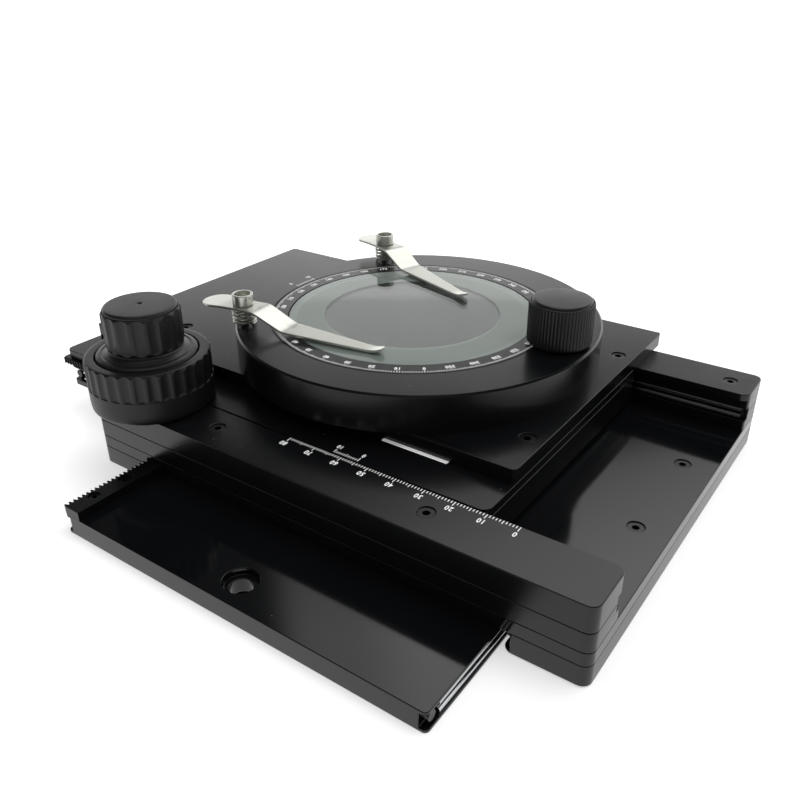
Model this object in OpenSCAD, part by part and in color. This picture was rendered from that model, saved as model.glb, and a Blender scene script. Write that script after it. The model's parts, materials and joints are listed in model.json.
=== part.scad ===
// Mechanical microscope stage: a Y frame that slides on a base plate, an X carriage that
// slides in the frame, and a rotary glass stage with clips on top. Two coaxial knobs drive
// the travels by rack and pinion, and a knurled knob turns the dial.
// Frame: origin on the underside of the base, on the axis of its light port. +Y is away
// from the user, +X to the right, +Z up. Millimetres.

/* [Base plate] */
// Width of the base plate, left to right
base_w = 134; // [120:1:150]
// Length of the base plate, front to back
base_l = 160; // [150:1:175]
// Thickness of the base plate
base_t = 6.8; // [6.4:0.1:8]
// Distance from the light port axis to the front edge
base_front = 89.8; // [84:0.2:94]
// Radius of the plate's corners
base_corner_r = 1.5; // [0.5:0.5:3]
// Radius of the light port
port_r = 24; // [15:1:26]
// Radius of the two fixing holes
fix_hole_r = 3.35; // [2.2:0.05:4]
// Radius of the counterbore round a fixing hole
fix_bore_r = 5.2; // [4.5:0.1:6]
// Depth of that counterbore
fix_bore_depth = 2.2; // [1:0.1:4]
// Distance of the fixing holes from the front and back edges
fix_inset = 8.7; // [7:0.1:12]

/* [Ball ways] */
// Radius of a guide rod
rod_r = 1; // [0.8:0.05:1.05]
// Height of a rod above or below the middle of its way
rod_rise = 1.35; // [1.2:0.05:1.4]
// Distance of a rod's axis from the middle of its way
rod_reach = 1.8; // [1.7:0.05:1.95]
// Distance from a groove's end to the rod in it
rod_end_gap = 6; // [5:0.5:8]
// Thickness of a ball cage
cage_t = 0.5; // [0.3:0.05:0.6]
// Height of a ball cage
cage_h = 3.8; // [3.2:0.1:4]
// Distance between two balls
ball_pitch = 11; // [8:0.5:14]
// Number of balls in a Y cage
y_balls_per_cage = 9; // [5:1:9]
// Number of balls in an X cage
x_balls_per_cage = 10; // [5:1:10]
// Radius of the head of an end-stop screw
stop_head_r = 1.5; // [1.2:0.1:1.8]

/* [Y frame] */
// Width of the Y frame
frame_w = 183.5; // [178:0.5:190]
// Depth of the Y frame, front to back
frame_l = 144; // [140:1:150]
// Distance from the light port axis to the frame's front edge, at rest
frame_front = 57; // [55:0.5:59]
// Gap between the base plate and each rail
y_way_gap = 0.95; // [0.8:0.05:1.2]
// Gap between the base plate and the main plate
plate_gap = 0.2; // [0.1:0.05:0.6]
// Height of the rails above the surface that the base stands on
rail_lift = 0.4; // [0.2:0.05:0.6]
// Thickness of the main plate
plate_t = 4.3; // [4:0.1:6]
// Height of the lower bars
lower_bar_h = 6.2; // [5.4:0.1:7.5]
// Height of the upper bars
upper_bar_h = 8.3; // [8:0.1:10]
// Depth of the front and back bars
bar_d = 18; // [16:0.5:19]
// Reach of the thin lip along the top of an upper bar
lip_reach = 1.7; // [1.5:0.05:2]
// Thickness of that lip
lip_t = 2.6; // [2.2:0.1:2.8]
// Plan radius of the frame's corners
frame_corner_r = 3; // [1:0.5:5]
// Width of the light opening in the main plate
window_w = 60; // [40:1:70]
// Distance from the bars' inner faces to the light opening
window_margin = 6; // [4:0.5:12]

/* [Screws] */
// Radius of a bar screw's head
bar_head_r = 3.5; // [3:0.1:3.6]
// Height of a bar screw's head
bar_head_h = 3.6; // [3:0.1:4]
// Radius of a bar screw's shank
bar_shank_r = 2; // [1.5:0.1:2.2]
// Distance between the two front bar screws
front_screw_span = 79.6; // [60:0.2:90]
// Distance of the back bar screws from the frame's ends
back_screw_inset = 8.6; // [7:0.2:12]
// Distance of a bar screw from the bar's outer edge
bar_screw_y = 9.4; // [9:0.1:10]
// Radius of a small screw's head
small_head_r = 2.5; // [2:0.1:2.8]
// Height of a small screw's head
small_head_h = 2.2; // [1.5:0.1:2.4]
// Radius of a small screw's shank
small_shank_r = 1.5; // [1:0.1:1.8]
// Depth of a screw head's top below the surface
head_sink = 0.4; // [0.1:0.1:0.8]

/* [X carriage] */
// Length of the slide plate, left to right
slide_w = 181.4; // [175:0.2:186]
// Length of the vernier plate and the top plate
carriage_w = 185.6; // [182:0.2:188]
// Distance from the light port axis to the carriage's right edge, at rest
carriage_right = 52.15; // [48:0.05:56]
// Gap between the slide plate and each bar
x_way_gap = 0.7; // [0.65:0.05:0.8]
// Gap between the slide plate and the main plate
slide_lift = 1.5; // [1:0.1:2.5]
// Thickness of the vernier plate
vernier_t = 3; // [2.9:0.1:3.4]
// Gap between the vernier plate and the bars
vernier_gap = 0.5; // [0.3:0.05:0.8]
// Thickness of the top plate
top_t = 5; // [4.6:0.1:6]
// Depth of the top plate, front to back
top_d = 116.2; // [110:0.2:122]
// Distance from the front bar's inner edge to the top plate
top_setback = 15.8; // [15.4:0.1:17]
// Plan radius of the carriage's corners
carriage_corner_r = 3; // [1:0.5:5]
// Radius of the opening in the slide plate and vernier plate
shaft_r = 32; // [28:0.5:33]

/* [Racks and knob shafts] */
// Module of the rack and pinion teeth
rack_module = 0.5; // [0.45:0.05:0.5]
// Number of teeth on each drive pinion
drive_teeth = 26; // [26:2:28]
// Clearance on each side of a tooth
backlash = 0.04; // [0.02:0.01:0.08]
// Thickness of the X rack
x_rack_t = 2.4; // [2.2:0.1:2.5]
// Length of the X rack
x_rack_l = 95; // [92:1:98]
// Distance that the X rack stands out past the slide plate's left end
x_rack_overhang = 5; // [0:0.5:6]
// Width of the X rack, teeth included
x_rack_w = 6.5; // [6:0.1:8]
// Thickness of the Y rack
y_rack_t = 3; // [2.6:0.1:3.1]
// Length of the Y rack
y_rack_l = 70; // [68:1:76]
// Width of the Y rack, teeth included
y_rack_w = 7.3; // [6.6:0.1:8.5]
// Distance of the Y rack's tooth tips from the base plate's edge
y_rack_inset = 0.15; // [0.05:0.05:0.4]
// Radius of the inner shaft
inner_shaft_r = 2.5; // [2:0.1:2.7]
// Wall of the hollow shaft
hollow_wall = 1.4; // [1.1:0.1:1.6]
// Running clearance of a shaft in its bore
shaft_gap = 0.05; // [0.03:0.01:0.08]
// Wall of the shaft bush
bush_wall = 2; // [1.5:0.1:2.5]

/* [Drive knobs] */
// Radius of the large knob
large_knob_r = 20.4; // [19:0.1:20.4]
// Height of the large knob's underside above the bar
large_knob_lift = 1; // [0.8:0.1:2]
// Height of the large knob
large_knob_h = 17; // [16:0.1:18]
// Height of its plain skirt
skirt_h = 6.4; // [5:0.1:8]
// Number of flutes on the large knob
large_flutes = 30; // [24:1:36]
// Radius of the recess in the large knob's top
recess_r = 16.9; // [16.7:0.1:17.5]
// Depth of that recess
recess_depth = 2; // [1.5:0.1:3]
// Radius of the small knob's flange
flange_r = 16.4; // [15:0.1:16.4]
// Radius of the small knob's grip
small_knob_r = 12.5; // [11.5:0.1:13]
// Height of the small knob's grip
small_knob_h = 12.4; // [11:0.1:14]
// Number of flutes on the small knob
small_flutes = 16; // [12:1:20]
// Radius of the small knob's cap
small_cap_r = 11; // [10:0.1:11.2]

/* [Rotary stage] */
// Radius of the ring housing
ring_r = 65.5; // [64:0.5:65.5]
// Height of the ring housing
ring_h = 13; // [12.6:0.1:15]
// Radius of the dial
dial_r = 51; // [51:0.1:51.4]
// Gap between the dial and the housing
dial_gap = 0.3; // [0.25:0.05:0.5]
// Offset of the housing's centre to the right of the dial's
ring_offset_x = 2; // [1:0.1:3]
// Offset of the housing's centre behind the dial's
ring_offset_y = 1; // [0:0.1:1.5]
// Distance of the dial's centre from the carriage's right edge
dial_from_right = 72.2; // [70:0.1:75]
// Distance of the dial's centre behind the front bar's inner edge
dial_from_bar = 70; // [68.5:0.1:71]
// Module of the dial's teeth
dial_module = 1; // [1:0.1:1]
// Number of teeth on the dial
dial_teeth = 100; // [98:2:100]
// Number of teeth on the ring knob's pinion
ring_teeth = 12; // [12:1:14]
// Direction of the ring knob from the dial's centre, in degrees
ring_knob_angle = 5; // [0:1:12]
// Thickness of the ledge that the dial turns on
ledge_t = 2.5; // [2:0.1:3]
// Radius of the bore in that ledge
ledge_r = 42; // [40:0.1:43]
// Radius of the glass
glass_r = 44.7; // [43:0.1:45.5]
// Thickness of the glass
glass_t = 2.3; // [1.8:0.1:2.6]
// Radius of the opening under the glass
dial_port_r = 31.6; // [28:0.1:32]
// Radius of the ring knob
ring_knob_r = 10.7; // [9:0.1:11]
// Height of the ring knob
ring_knob_h = 14.8; // [13:0.1:17]
// Number of knurls on the ring knob
knurls = 48; // [36:1:60]

/* [Stage clips] */
// Distance of the clip studs to the left of the dial's centre
stud_x = 42.8; // [42:0.1:44]
// Distance of the clip studs in front of and behind the dial's centre
stud_y = 41.9; // [41:0.1:43]
// Radius of a stud's hollow head
head_r = 3.7; // [3.2:0.1:4]
// Height of a stud's hollow head
head_h = 3.9; // [3:0.1:6]
// Radius of a stud's stem
stem_r = 1.6; // [1.3:0.1:1.8]
// Height of a clip leaf's underside above the ring housing, at its stud
leaf_lift = 6.1; // [5.6:0.1:7]
// Thickness of a clip leaf
leaf_t = 0.8; // [0.6:0.05:1]
// Length of a leaf from its stud to the tip
leaf_l = 56.5; // [52:0.5:58]
// Radius of a leaf's thumb end
paddle_r = 5.6; // [5:0.1:6]
// Direction of the left leaf at rest, in degrees
left_leaf_angle = 6.5; // [0:0.5:14]
// Direction of the right leaf at rest, in degrees
right_leaf_angle = -21.4; // [-30:0.2:-14]
// Outer radius of a clip spring
spring_r = 4.2; // [3.8:0.1:4.5]
// Diameter of the spring's wire
wire_d = 0.8; // [0.6:0.05:0.9]
// Number of turns of a clip spring
spring_turns = 3.5; // [3:0.5:3.5]

/* [Hidden] */

// Allowances shared by all pieces
over = 1;                  // how far a cutter runs past a face
seat = 0.02;               // play of a rod, bush or screw in its seat
thread_gap = 0.05;         // play of a shank in its hole
round_fn = 96;
ball_fn = 32;

// Heights
plate_z = base_t + plate_gap;
lower_z = plate_z + plate_t;
split_z = lower_z + lower_bar_h;
deck_z = split_z + upper_bar_h;
slide_z = lower_z + slide_lift;
slide_top = deck_z - vernier_t;
top_z = deck_z;
ring_z = top_z + top_t;
stage_z = ring_z + ring_h;
y_way_z = base_t / 2;
x_way_z = split_z;

// Places along Y
base_y0 = -base_front;
base_y1 = base_l - base_front;
frame_y0 = -frame_front;
frame_y1 = frame_l - frame_front;
bar_in_y0 = frame_y0 + bar_d;
bar_in_y1 = frame_y1 - bar_d;
bar_face_y0 = bar_in_y0 - lip_reach;
bar_face_y1 = bar_in_y1 + lip_reach;
slide_y0 = bar_face_y0 + x_way_gap;
slide_y1 = bar_face_y1 - x_way_gap;
x_way_y0 = (bar_face_y0 + slide_y0) / 2;
x_way_y1 = (bar_face_y1 + slide_y1) / 2;
fix_y0 = base_y0 + fix_inset;
fix_y1 = base_y1 - fix_inset;

// Places along X
rail_in_x = base_w / 2 + y_way_gap;
y_way_x = base_w / 2 + y_way_gap / 2;
slide_x1 = carriage_right;
slide_x0 = slide_x1 - slide_w;
carriage_x0 = carriage_right - carriage_w;

// Grooves that hold a pair of rods
groove_half_h = rod_rise + rod_r + seat;
groove_depth = rod_reach + rod_r + seat;
ball_r = norm([rod_reach, rod_rise]) - rod_r - seat;

// Travels at each side of rest, and the middle of each cage at rest
x_travel = [-18, 55];
y_travel = [-40, 10];
y_cage_l = (y_balls_per_cage - 1) * ball_pitch + 8;
x_cage_l = (x_balls_per_cage - 1) * ball_pitch + 8;
y_cage_y = (frame_y0 + base_y1) / 2;
x_cage_x = (-frame_w / 2 + slide_x1) / 2;

// Rack and pinion drives: both pinions share one axis
drive_r = rack_module * drive_teeth / 2;
drive_tip_r = drive_r + rack_module;
pocket_r = drive_tip_r + 0.3;
rack_pitch = PI * rack_module;
y_rack_tip_x = -base_w / 2 + y_rack_inset;
drive_x = y_rack_tip_x + rack_module - drive_r;
drive_y = slide_y0 + rack_module - drive_r;
x_rack_x0 = slide_x0 - x_rack_overhang;
x_rack_z = slide_top - x_rack_t;
face_gap = 0.25;           // gap above and below a pinion
x_pinion_z0 = x_rack_z + face_gap;
x_pinion_z1 = slide_top - 0.15;
roof_z = x_pinion_z1 + face_gap;
y_pinion_z0 = plate_z + 0.4;
y_pinion_z1 = plate_z + y_rack_t - 0.4;
y_roof_z = plate_z + y_rack_t;
hollow_r = inner_shaft_r + shaft_gap + hollow_wall;
bush_r = hollow_r + shaft_gap + bush_wall;
bush_top = deck_z + large_knob_lift + 8;
bush_flange_r = bush_r + 3;
bush_flange_t = large_knob_lift - 0.3;

// Large and small knob
large_z0 = deck_z + large_knob_lift;
large_z1 = large_z0 + large_knob_h;
flute_z0 = large_z0 + skirt_h;
flange_z0 = large_z1 - recess_depth + 0.3;
flange_z1 = flange_z0 + 2.6;
grip_z0 = flange_z1 + 1.6;
grip_z1 = grip_z0 + small_knob_h;
cap_seat_depth = 2;
cap_rise = 0.8;
hub_depth = 9;             // depth that a shaft reaches into its knob

// Rotary stage
dial_x = carriage_right - dial_from_right;
dial_y = bar_in_y0 + dial_from_bar;
ring_x = dial_x + ring_offset_x;
ring_y = dial_y + ring_offset_y;
bore_r = dial_r + dial_gap;
dial_pitch_r = dial_module * dial_teeth / 2;
ring_pitch_r = dial_module * ring_teeth / 2;
stub = 0.8;                // height of a stub tooth, as a share of the module
ring_arm = dial_pitch_r + ring_pitch_r;
ring_pocket_r = ring_pitch_r + stub * dial_module + 0.5;
knob_x = dial_x + ring_arm * cos(ring_knob_angle);
knob_y = dial_y + ring_arm * sin(ring_knob_angle);
ledge_top = ring_z + ledge_t;
dial_gear_z = ledge_top + 0.1;
dial_disc_z = dial_gear_z + 5.2;
ring_pinion_z0 = dial_gear_z + 0.4;
ring_pinion_z1 = dial_disc_z - 0.5;
ring_shaft_r = 3;
glass_z = stage_z - 0.1 - glass_t;
glass_seat_r = glass_r + 0.2;
glue_groove_r = glass_r - 2.9;
hub_r = ledge_r - dial_gap;
hub_bore_r = ledge_r - 6;
retainer_r = ledge_r + 3.5;
retainer_t = 2.1;
retainer_gap = 0.3;
hub_z = ring_z - retainer_gap;
top_port_r = retainer_r + 1.5;
ring_knob_z0 = stage_z + 0.4;
ring_knob_z1 = ring_knob_z0 + ring_knob_h;
ring_cap_r = ring_knob_r - 1.5;

// Screw places: shift of the front pair, distances of the rail screws from the rail's middle
// and the bars, of the top plate's screws from its edges and from the slide plate's back, and
// of the rack screws from the racks' ends and tooth tips
front_screw_shift = -1.25;
rail_screw_shift = 1.6;
rail_screw_front = 36.7;
rail_screw_back = 30.2;
top_screw_right = 5.8;
top_screw_left = 31;
top_screw_front = 18.2;
top_screw_back = 5;
x_rack_screw_end = 6;
y_rack_screw_steps = [8.7, 20.2, 43, 64];
y_rack_screw_reach = 3.65;
front_screws = [for (s = [-1, 1])
    [s * front_screw_span / 2 + front_screw_shift, frame_y0 + bar_screw_y]];
back_screws = [for (s = [-1, 1])
    [s * (frame_w / 2 - back_screw_inset), frame_y1 - bar_screw_y]];
rail_screw_x = (rail_in_x + frame_w / 2) / 2 + rail_screw_shift;
rail_screws_y = [bar_in_y0 + rail_screw_front, bar_in_y1 - rail_screw_back];
top_screws = [for (x = [carriage_right - top_screw_right, carriage_x0 + top_screw_left],
    y = [bar_in_y0 + top_setback + top_screw_front, slide_y1 - top_screw_back]) [x, y]];
ring_screw_angles = [60, 120, 180, 240, 300];
ring_screw_r = ring_r - 7.5;
retainer_screw_r = (hub_r + hub_bore_r) / 2;
x_rack_screws_x = [for (i = [0 : 2]) slide_x0 + x_rack_screw_end
    + i * (x_rack_l - x_rack_overhang - 2 * x_rack_screw_end) / 2];
y_rack_screws_y = [for (y = y_rack_screw_steps) base_y0 + y];
y_rack_screw_x = y_rack_tip_x + y_rack_screw_reach;
rack_screw_r = 1.1;
rack_head_r = 1.9;

// Clips
studs = [[dial_x - stud_x, dial_y - stud_y], [dial_x - stud_x, dial_y + stud_y]];
leaf_z = stage_z + leaf_lift;
spring_h = leaf_lift - 0.05;
spring_mid_r = spring_r - wire_d / 2;

// ---------- shared shapes ----------

// A rectangle from one corner to the other, with round corners
module round_rect(x0, y0, x1, y1, r) {
    translate([x0 + r, y0]) square([x1 - x0 - 2 * r, y1 - y0]);
    translate([x0, y0 + r]) square([x1 - x0, y1 - y0 - 2 * r]);
    for (x = [x0 + r, x1 - r], y = [y0 + r, y1 - r])
        translate([x, y]) circle(r, $fn = 48);
}

// A plate between two heights on a rounded rectangle
module plate(x0, y0, x1, y1, r, z0, z1) {
    translate([0, 0, z0]) linear_extrude(z1 - z0) round_rect(x0, y0, x1, y1, r);
}

// A cutter for a box between two corners
module box(a, b) {
    translate(a) cube(b - a);
}

// A vertical cylinder between two heights
module post(x, y, r, z0, z1) {
    translate([x, y, z0]) cylinder(r = r, h = z1 - z0, $fn = round_fn);
}

// A socket head screw whose head's top is at z, pointing down
module screw(x, y, z, head_r, head_h, shank_r, length) {
    difference() {
        union() {
            post(x, y, head_r, z - head_h, z);
            post(x, y, shank_r, z - length, z - head_h + 0.01);
        }
        translate([x, y, z - 0.55 * head_h])
            cylinder(r = 0.5 * head_r, h = head_h, $fn = 6);
    }
}

// The hole for such a screw in a plate whose surface is at z
module screw_hole(x, y, z, head_r, head_h, shank_r, depth) {
    post(x, y, head_r + 0.1, z - head_h - head_sink, z + over);
    post(x, y, shank_r + thread_gap, z - depth, z);
}

// Angle in degrees of the involute at radius q for a base circle b
function involute_deg(b, q) = let (a = acos(min(1, b / q))) tan(a) * 180 / PI - a;

// Outline of a spur gear: involute flanks above the base circle, radial ones below it
function gear_points(m, n, add, ded, play, steps) =
    let (r = m * n / 2, b = r * cos(20), tip = r + add, root = r - ded,
        half = 90 / n - play / r * 180 / PI + involute_deg(b, r),
        low = max(b, root),
        flank = [for (i = [0 : steps]) let (q = low + (tip - low) * i / steps)
            [q, half - involute_deg(b, q)]],
        side = concat([[root, half - involute_deg(b, low)]], flank))
    [for (k = [0 : n - 1]) each concat(
        [for (i = [0 : len(side) - 1]) let (p = side[i], a = k * 360 / n - p[1])
            p[0] * [cos(a), sin(a)]],
        [for (i = [len(side) - 1 : -1 : 0]) let (p = side[i], a = k * 360 / n + p[1])
            p[0] * [cos(a), sin(a)]])];

module spur_gear(m, n, add, ded, play, steps, h) {
    linear_extrude(h) polygon(gear_points(m, n, add, ded, play, steps));
}

// Rack outline along +X from 0 to l: teeth towards -Y with their tips at 0, back at w.
// A gap is centred at x = gap_x.
function rack_points(m, l, w, gap_x, play) =
    let (p = PI * m, q = tan(20), tip = p / 4 - m * q - play, root = p / 4 + 1.25 * m * q - play,
        depth = 2.25 * m, first = ceil((root - gap_x) / p - 0.5),
        last = floor((l - root - gap_x) / p - 0.5))
    concat([[0, w], [0, depth]],
        [for (k = [first : last]) each let (c = gap_x + (k + 0.5) * p)
            [[c - root, depth], [c - tip, 0], [c + tip, 0], [c + root, depth]]],
        [[l, depth], [l, w]]);

// Rods that run along Y from y0 to y1, above and below a way's middle
module rods_along_y(x, z, y0, y1) {
    for (s = [-1, 1])
        translate([x, y0, z + s * rod_rise]) rotate([-90, 0, 0])
            cylinder(r = rod_r, h = y1 - y0, $fn = 48);
}

// Rods that run along X from x0 to x1
module rods_along_x(y, z, x0, x1) {
    for (s = [-1, 1])
        translate([x0, y, z + s * rod_rise]) rotate([0, 90, 0])
            cylinder(r = rod_r, h = x1 - x0, $fn = 48);
}

// ---------- base ----------

module base_plate() {
    color("#1b1c1e") difference() {
        plate(-base_w / 2, base_y0, base_w / 2, base_y1, base_corner_r, 0, base_t);
        for (s = [-1, 1])
            translate([s * y_way_x, 0, y_way_z])
                box([-groove_depth, base_y0 - over, -groove_half_h],
                    [groove_depth, base_y1 + over, groove_half_h]);
        post(0, 0, port_r, -over, base_t + over);
        for (y = [fix_y0, fix_y1]) {
            post(0, y, fix_hole_r, -over, base_t + over);
            post(0, y, fix_bore_r, base_t - fix_bore_depth, base_t + over);
        }
        for (y = y_rack_screws_y)
            post(y_rack_screw_x, y, rack_screw_r + thread_gap,
                base_t - 4.5, base_t + over);
        y_stop_places() rotate([0, 90, 0])
            translate([0, 0, -4]) cylinder(r = 0.8 + thread_gap, h = 5, $fn = round_fn);
    }
}

// The toothed outline runs along +Y with its teeth towards -X
module y_rack() {
    color("#2a2b2e") difference() {
        translate([y_rack_tip_x, base_y0, base_t]) linear_extrude(y_rack_t)
            mirror([1, -1, 0])
                polygon(rack_points(rack_module, y_rack_l, y_rack_w, drive_y - base_y0, backlash));
        for (y = y_rack_screws_y)
            screw_hole(y_rack_screw_x, y, base_t + y_rack_t,
                rack_head_r, 1.4, rack_screw_r, y_rack_t + over);
    }
}

module y_rack_screws() {
    color("#57595c") for (y = y_rack_screws_y)
        screw(y_rack_screw_x, y, base_t + y_rack_t - head_sink,
            rack_head_r, 1.4, rack_screw_r, 6);
}

module base_rods() {
    color("#c9ccd0") for (s = [-1, 1])
        rods_along_y(s * (y_way_x - rod_reach), y_way_z, base_y0 + rod_end_gap,
            base_y1 - rod_end_gap);
}

// Places of the end-stop screws in the base's grooves, +X pointing out of each groove
module y_stop_places() {
    for (s = [0, 180], y = [base_y0 + rod_end_gap / 2, base_y1 - rod_end_gap / 2])
        translate([0, y, y_way_z]) rotate([0, 0, s])
            translate([y_way_x - groove_depth, 0, 0]) children();
}

module stop_screw() {
    rotate([0, 90, 0]) {
        cylinder(r = stop_head_r, h = 1.8, $fn = round_fn);
        translate([0, 0, -3.5]) cylinder(r = 0.8, h = 3.6, $fn = round_fn);
    }
}

module y_stop_screws() {
    color("#b8babd") y_stop_places() stop_screw();
}

// ---------- Y frame ----------

module main_plate() {
    y0 = bar_in_y0 + window_margin;
    y1 = bar_in_y1 - window_margin;
    channel_x0 = y_rack_tip_x - 0.4;
    channel_x1 = y_rack_tip_x + y_rack_w + 0.4;
    channel_y1 = base_y0 + y_rack_l - y_travel[0] + 2;
    color("#1d1e20") difference() {
        plate(-frame_w / 2, frame_y0, frame_w / 2, frame_y1, frame_corner_r, plate_z, lower_z);
        translate([0, 0, plate_z - over]) linear_extrude(plate_t + 2 * over)
            round_rect(-window_w / 2, y0, window_w / 2, y1, window_w / 2 - 0.5);
        box([channel_x0, frame_y0 - over, plate_z - over],
            [channel_x1, channel_y1, y_roof_z]);
        post(drive_x, drive_y, pocket_r, plate_z - over, y_roof_z);
        post(drive_x, drive_y, inner_shaft_r + shaft_gap, plate_z, lower_z + over);
        for (p = concat(front_screws, back_screws))
            post(p[0], p[1], bar_shank_r + thread_gap, plate_z + 0.8, lower_z + over);
        for (s = [-1, 1], y = rail_screws_y)
            screw_hole(s * rail_screw_x, y, lower_z, small_head_r, small_head_h,
                small_shank_r, plate_t + over);
    }
}

// One rail: side is -1 on the left and 1 on the right
module rail(side) {
    x0 = side < 0 ? -frame_w / 2 : rail_in_x;
    difference() {
        plate(x0, frame_y0, x0 + frame_w / 2 - rail_in_x, frame_y1, frame_corner_r,
            rail_lift, plate_z);
        translate([side * y_way_x, 0, y_way_z])
            box([-groove_depth, frame_y0 - over, -groove_half_h],
                [groove_depth, frame_y1 + over, groove_half_h]);
        for (y = rail_screws_y)
            post(side * rail_screw_x, y, small_shank_r + thread_gap, plate_z - 4.5,
                plate_z + over);
    }
}

module left_rail() {
    color("#1b1c1e") rail(-1);
}

module right_rail() {
    color("#1b1c1e") rail(1);
}

module rail_rods() {
    color("#c9ccd0") for (s = [-1, 1])
        rods_along_y(s * (y_way_x + rod_reach), y_way_z, frame_y0 + rod_end_gap,
            frame_y1 - rod_end_gap);
}

module rail_screws() {
    color("#57595c") for (s = [-1, 1], y = rail_screws_y)
        screw(s * rail_screw_x, y, lower_z - head_sink, small_head_r, small_head_h,
            small_shank_r, 7);
}

// The rod groove along a bar's inner face
module bar_groove(way_y) {
    translate([0, way_y, x_way_z])
        box([-frame_w / 2 - over, -groove_depth, -groove_half_h],
            [frame_w / 2 + over, groove_depth, groove_half_h]);
}

module front_lower_bar() {
    color("#1d1e20") difference() {
        plate(-frame_w / 2, frame_y0, frame_w / 2, bar_in_y0, frame_corner_r, lower_z, split_z);
        box([-frame_w / 2 - over, bar_face_y0, lower_z - over],
            [frame_w / 2 + over, bar_in_y0 + over, split_z + over]);
        bar_groove(x_way_y0);
        for (p = front_screws)
            post(p[0], p[1], bar_shank_r + thread_gap, lower_z - over, split_z + over);
        post(drive_x, drive_y, inner_shaft_r + shaft_gap, lower_z - over, split_z + over);
    }
}

module back_lower_bar() {
    color("#1d1e20") difference() {
        plate(-frame_w / 2, bar_in_y1, frame_w / 2, frame_y1, frame_corner_r, lower_z, split_z);
        box([-frame_w / 2 - over, bar_in_y1 - over, lower_z - over],
            [frame_w / 2 + over, bar_face_y1, split_z + over]);
        bar_groove(x_way_y1);
        for (p = back_screws)
            post(p[0], p[1], bar_shank_r + thread_gap, lower_z - over, split_z + over);
    }
}

module front_scale_bar() {
    color("#202124") difference() {
        plate(-frame_w / 2, frame_y0, frame_w / 2, bar_in_y0, frame_corner_r, split_z, deck_z);
        box([-frame_w / 2 - over, bar_face_y0, split_z - over],
            [frame_w / 2 + over, bar_in_y0 + over, deck_z - lip_t]);
        bar_groove(x_way_y0);
        for (p = front_screws)
            screw_hole(p[0], p[1], deck_z, bar_head_r, bar_head_h, bar_shank_r,
                upper_bar_h + over);
        post(drive_x, drive_y, pocket_r, split_z - over, roof_z);
        post(drive_x, drive_y, bush_r + seat, split_z, deck_z + over);
    }
}

module back_upper_bar() {
    color("#202124") difference() {
        plate(-frame_w / 2, bar_in_y1, frame_w / 2, frame_y1, frame_corner_r, split_z, deck_z);
        box([-frame_w / 2 - over, bar_in_y1 - over, split_z - over],
            [frame_w / 2 + over, bar_face_y1, deck_z - lip_t]);
        bar_groove(x_way_y1);
        for (p = back_screws)
            screw_hole(p[0], p[1], deck_z, bar_head_r, bar_head_h, bar_shank_r,
                upper_bar_h + over);
    }
}

module bar_rods() {
    color("#c9ccd0") {
        rods_along_x(x_way_y0 - rod_reach, x_way_z, -frame_w / 2 + 2, frame_w / 2 - 2);
        rods_along_x(x_way_y1 + rod_reach, x_way_z, -frame_w / 2 + 2, frame_w / 2 - 2);
    }
}

module bar_screws() {
    length = deck_z - head_sink - plate_z - 1;
    color("#3a3c3f") for (p = concat(front_screws, back_screws))
        screw(p[0], p[1], deck_z - head_sink, bar_head_r, bar_head_h, bar_shank_r, length);
}

// Flanged sleeve that stands up inside the large knob and carries the hollow shaft
module shaft_bush() {
    color("#b08d4c") difference() {
        union() {
            post(drive_x, drive_y, bush_r, roof_z, bush_top);
            post(drive_x, drive_y, bush_flange_r, deck_z, deck_z + bush_flange_t);
        }
        post(drive_x, drive_y, hollow_r + shaft_gap, roof_z - over, bush_top + over);
    }
}

// ---------- ball cages ----------

module y_cages() {
    color("#b89a55") for (s = [-1, 1]) difference() {
        translate([s * y_way_x, y_cage_y, y_way_z])
            box([-cage_t / 2, -y_cage_l / 2, -cage_h / 2], [cage_t / 2, y_cage_l / 2, cage_h / 2]);
        y_ball_places(s) rotate([0, 90, 0])
            cylinder(r = ball_r + 0.06, h = 4, center = true, $fn = round_fn);
    }
}

module y_ball_places(side) {
    for (i = [0 : y_balls_per_cage - 1])
        translate([side * y_way_x, y_cage_y + (i - (y_balls_per_cage - 1) / 2) * ball_pitch,
            y_way_z]) children();
}

module y_balls() {
    color("#d8dadd") for (s = [-1, 1])
        y_ball_places(s) sphere(ball_r, $fn = ball_fn);
}

module x_ball_places(way_y) {
    for (i = [0 : x_balls_per_cage - 1])
        translate([x_cage_x + (i - (x_balls_per_cage - 1) / 2) * ball_pitch, way_y, x_way_z])
            children();
}

module x_cages() {
    color("#b89a55") for (y = [x_way_y0, x_way_y1]) difference() {
        translate([x_cage_x, y, x_way_z])
            box([-x_cage_l / 2, -cage_t / 2, -cage_h / 2], [x_cage_l / 2, cage_t / 2, cage_h / 2]);
        x_ball_places(y) rotate([90, 0, 0])
            cylinder(r = ball_r + 0.06, h = 4, center = true, $fn = round_fn);
    }
}

module x_balls() {
    color("#d8dadd") for (y = [x_way_y0, x_way_y1])
        x_ball_places(y) sphere(ball_r, $fn = ball_fn);
}

// ---------- X carriage ----------

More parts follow.
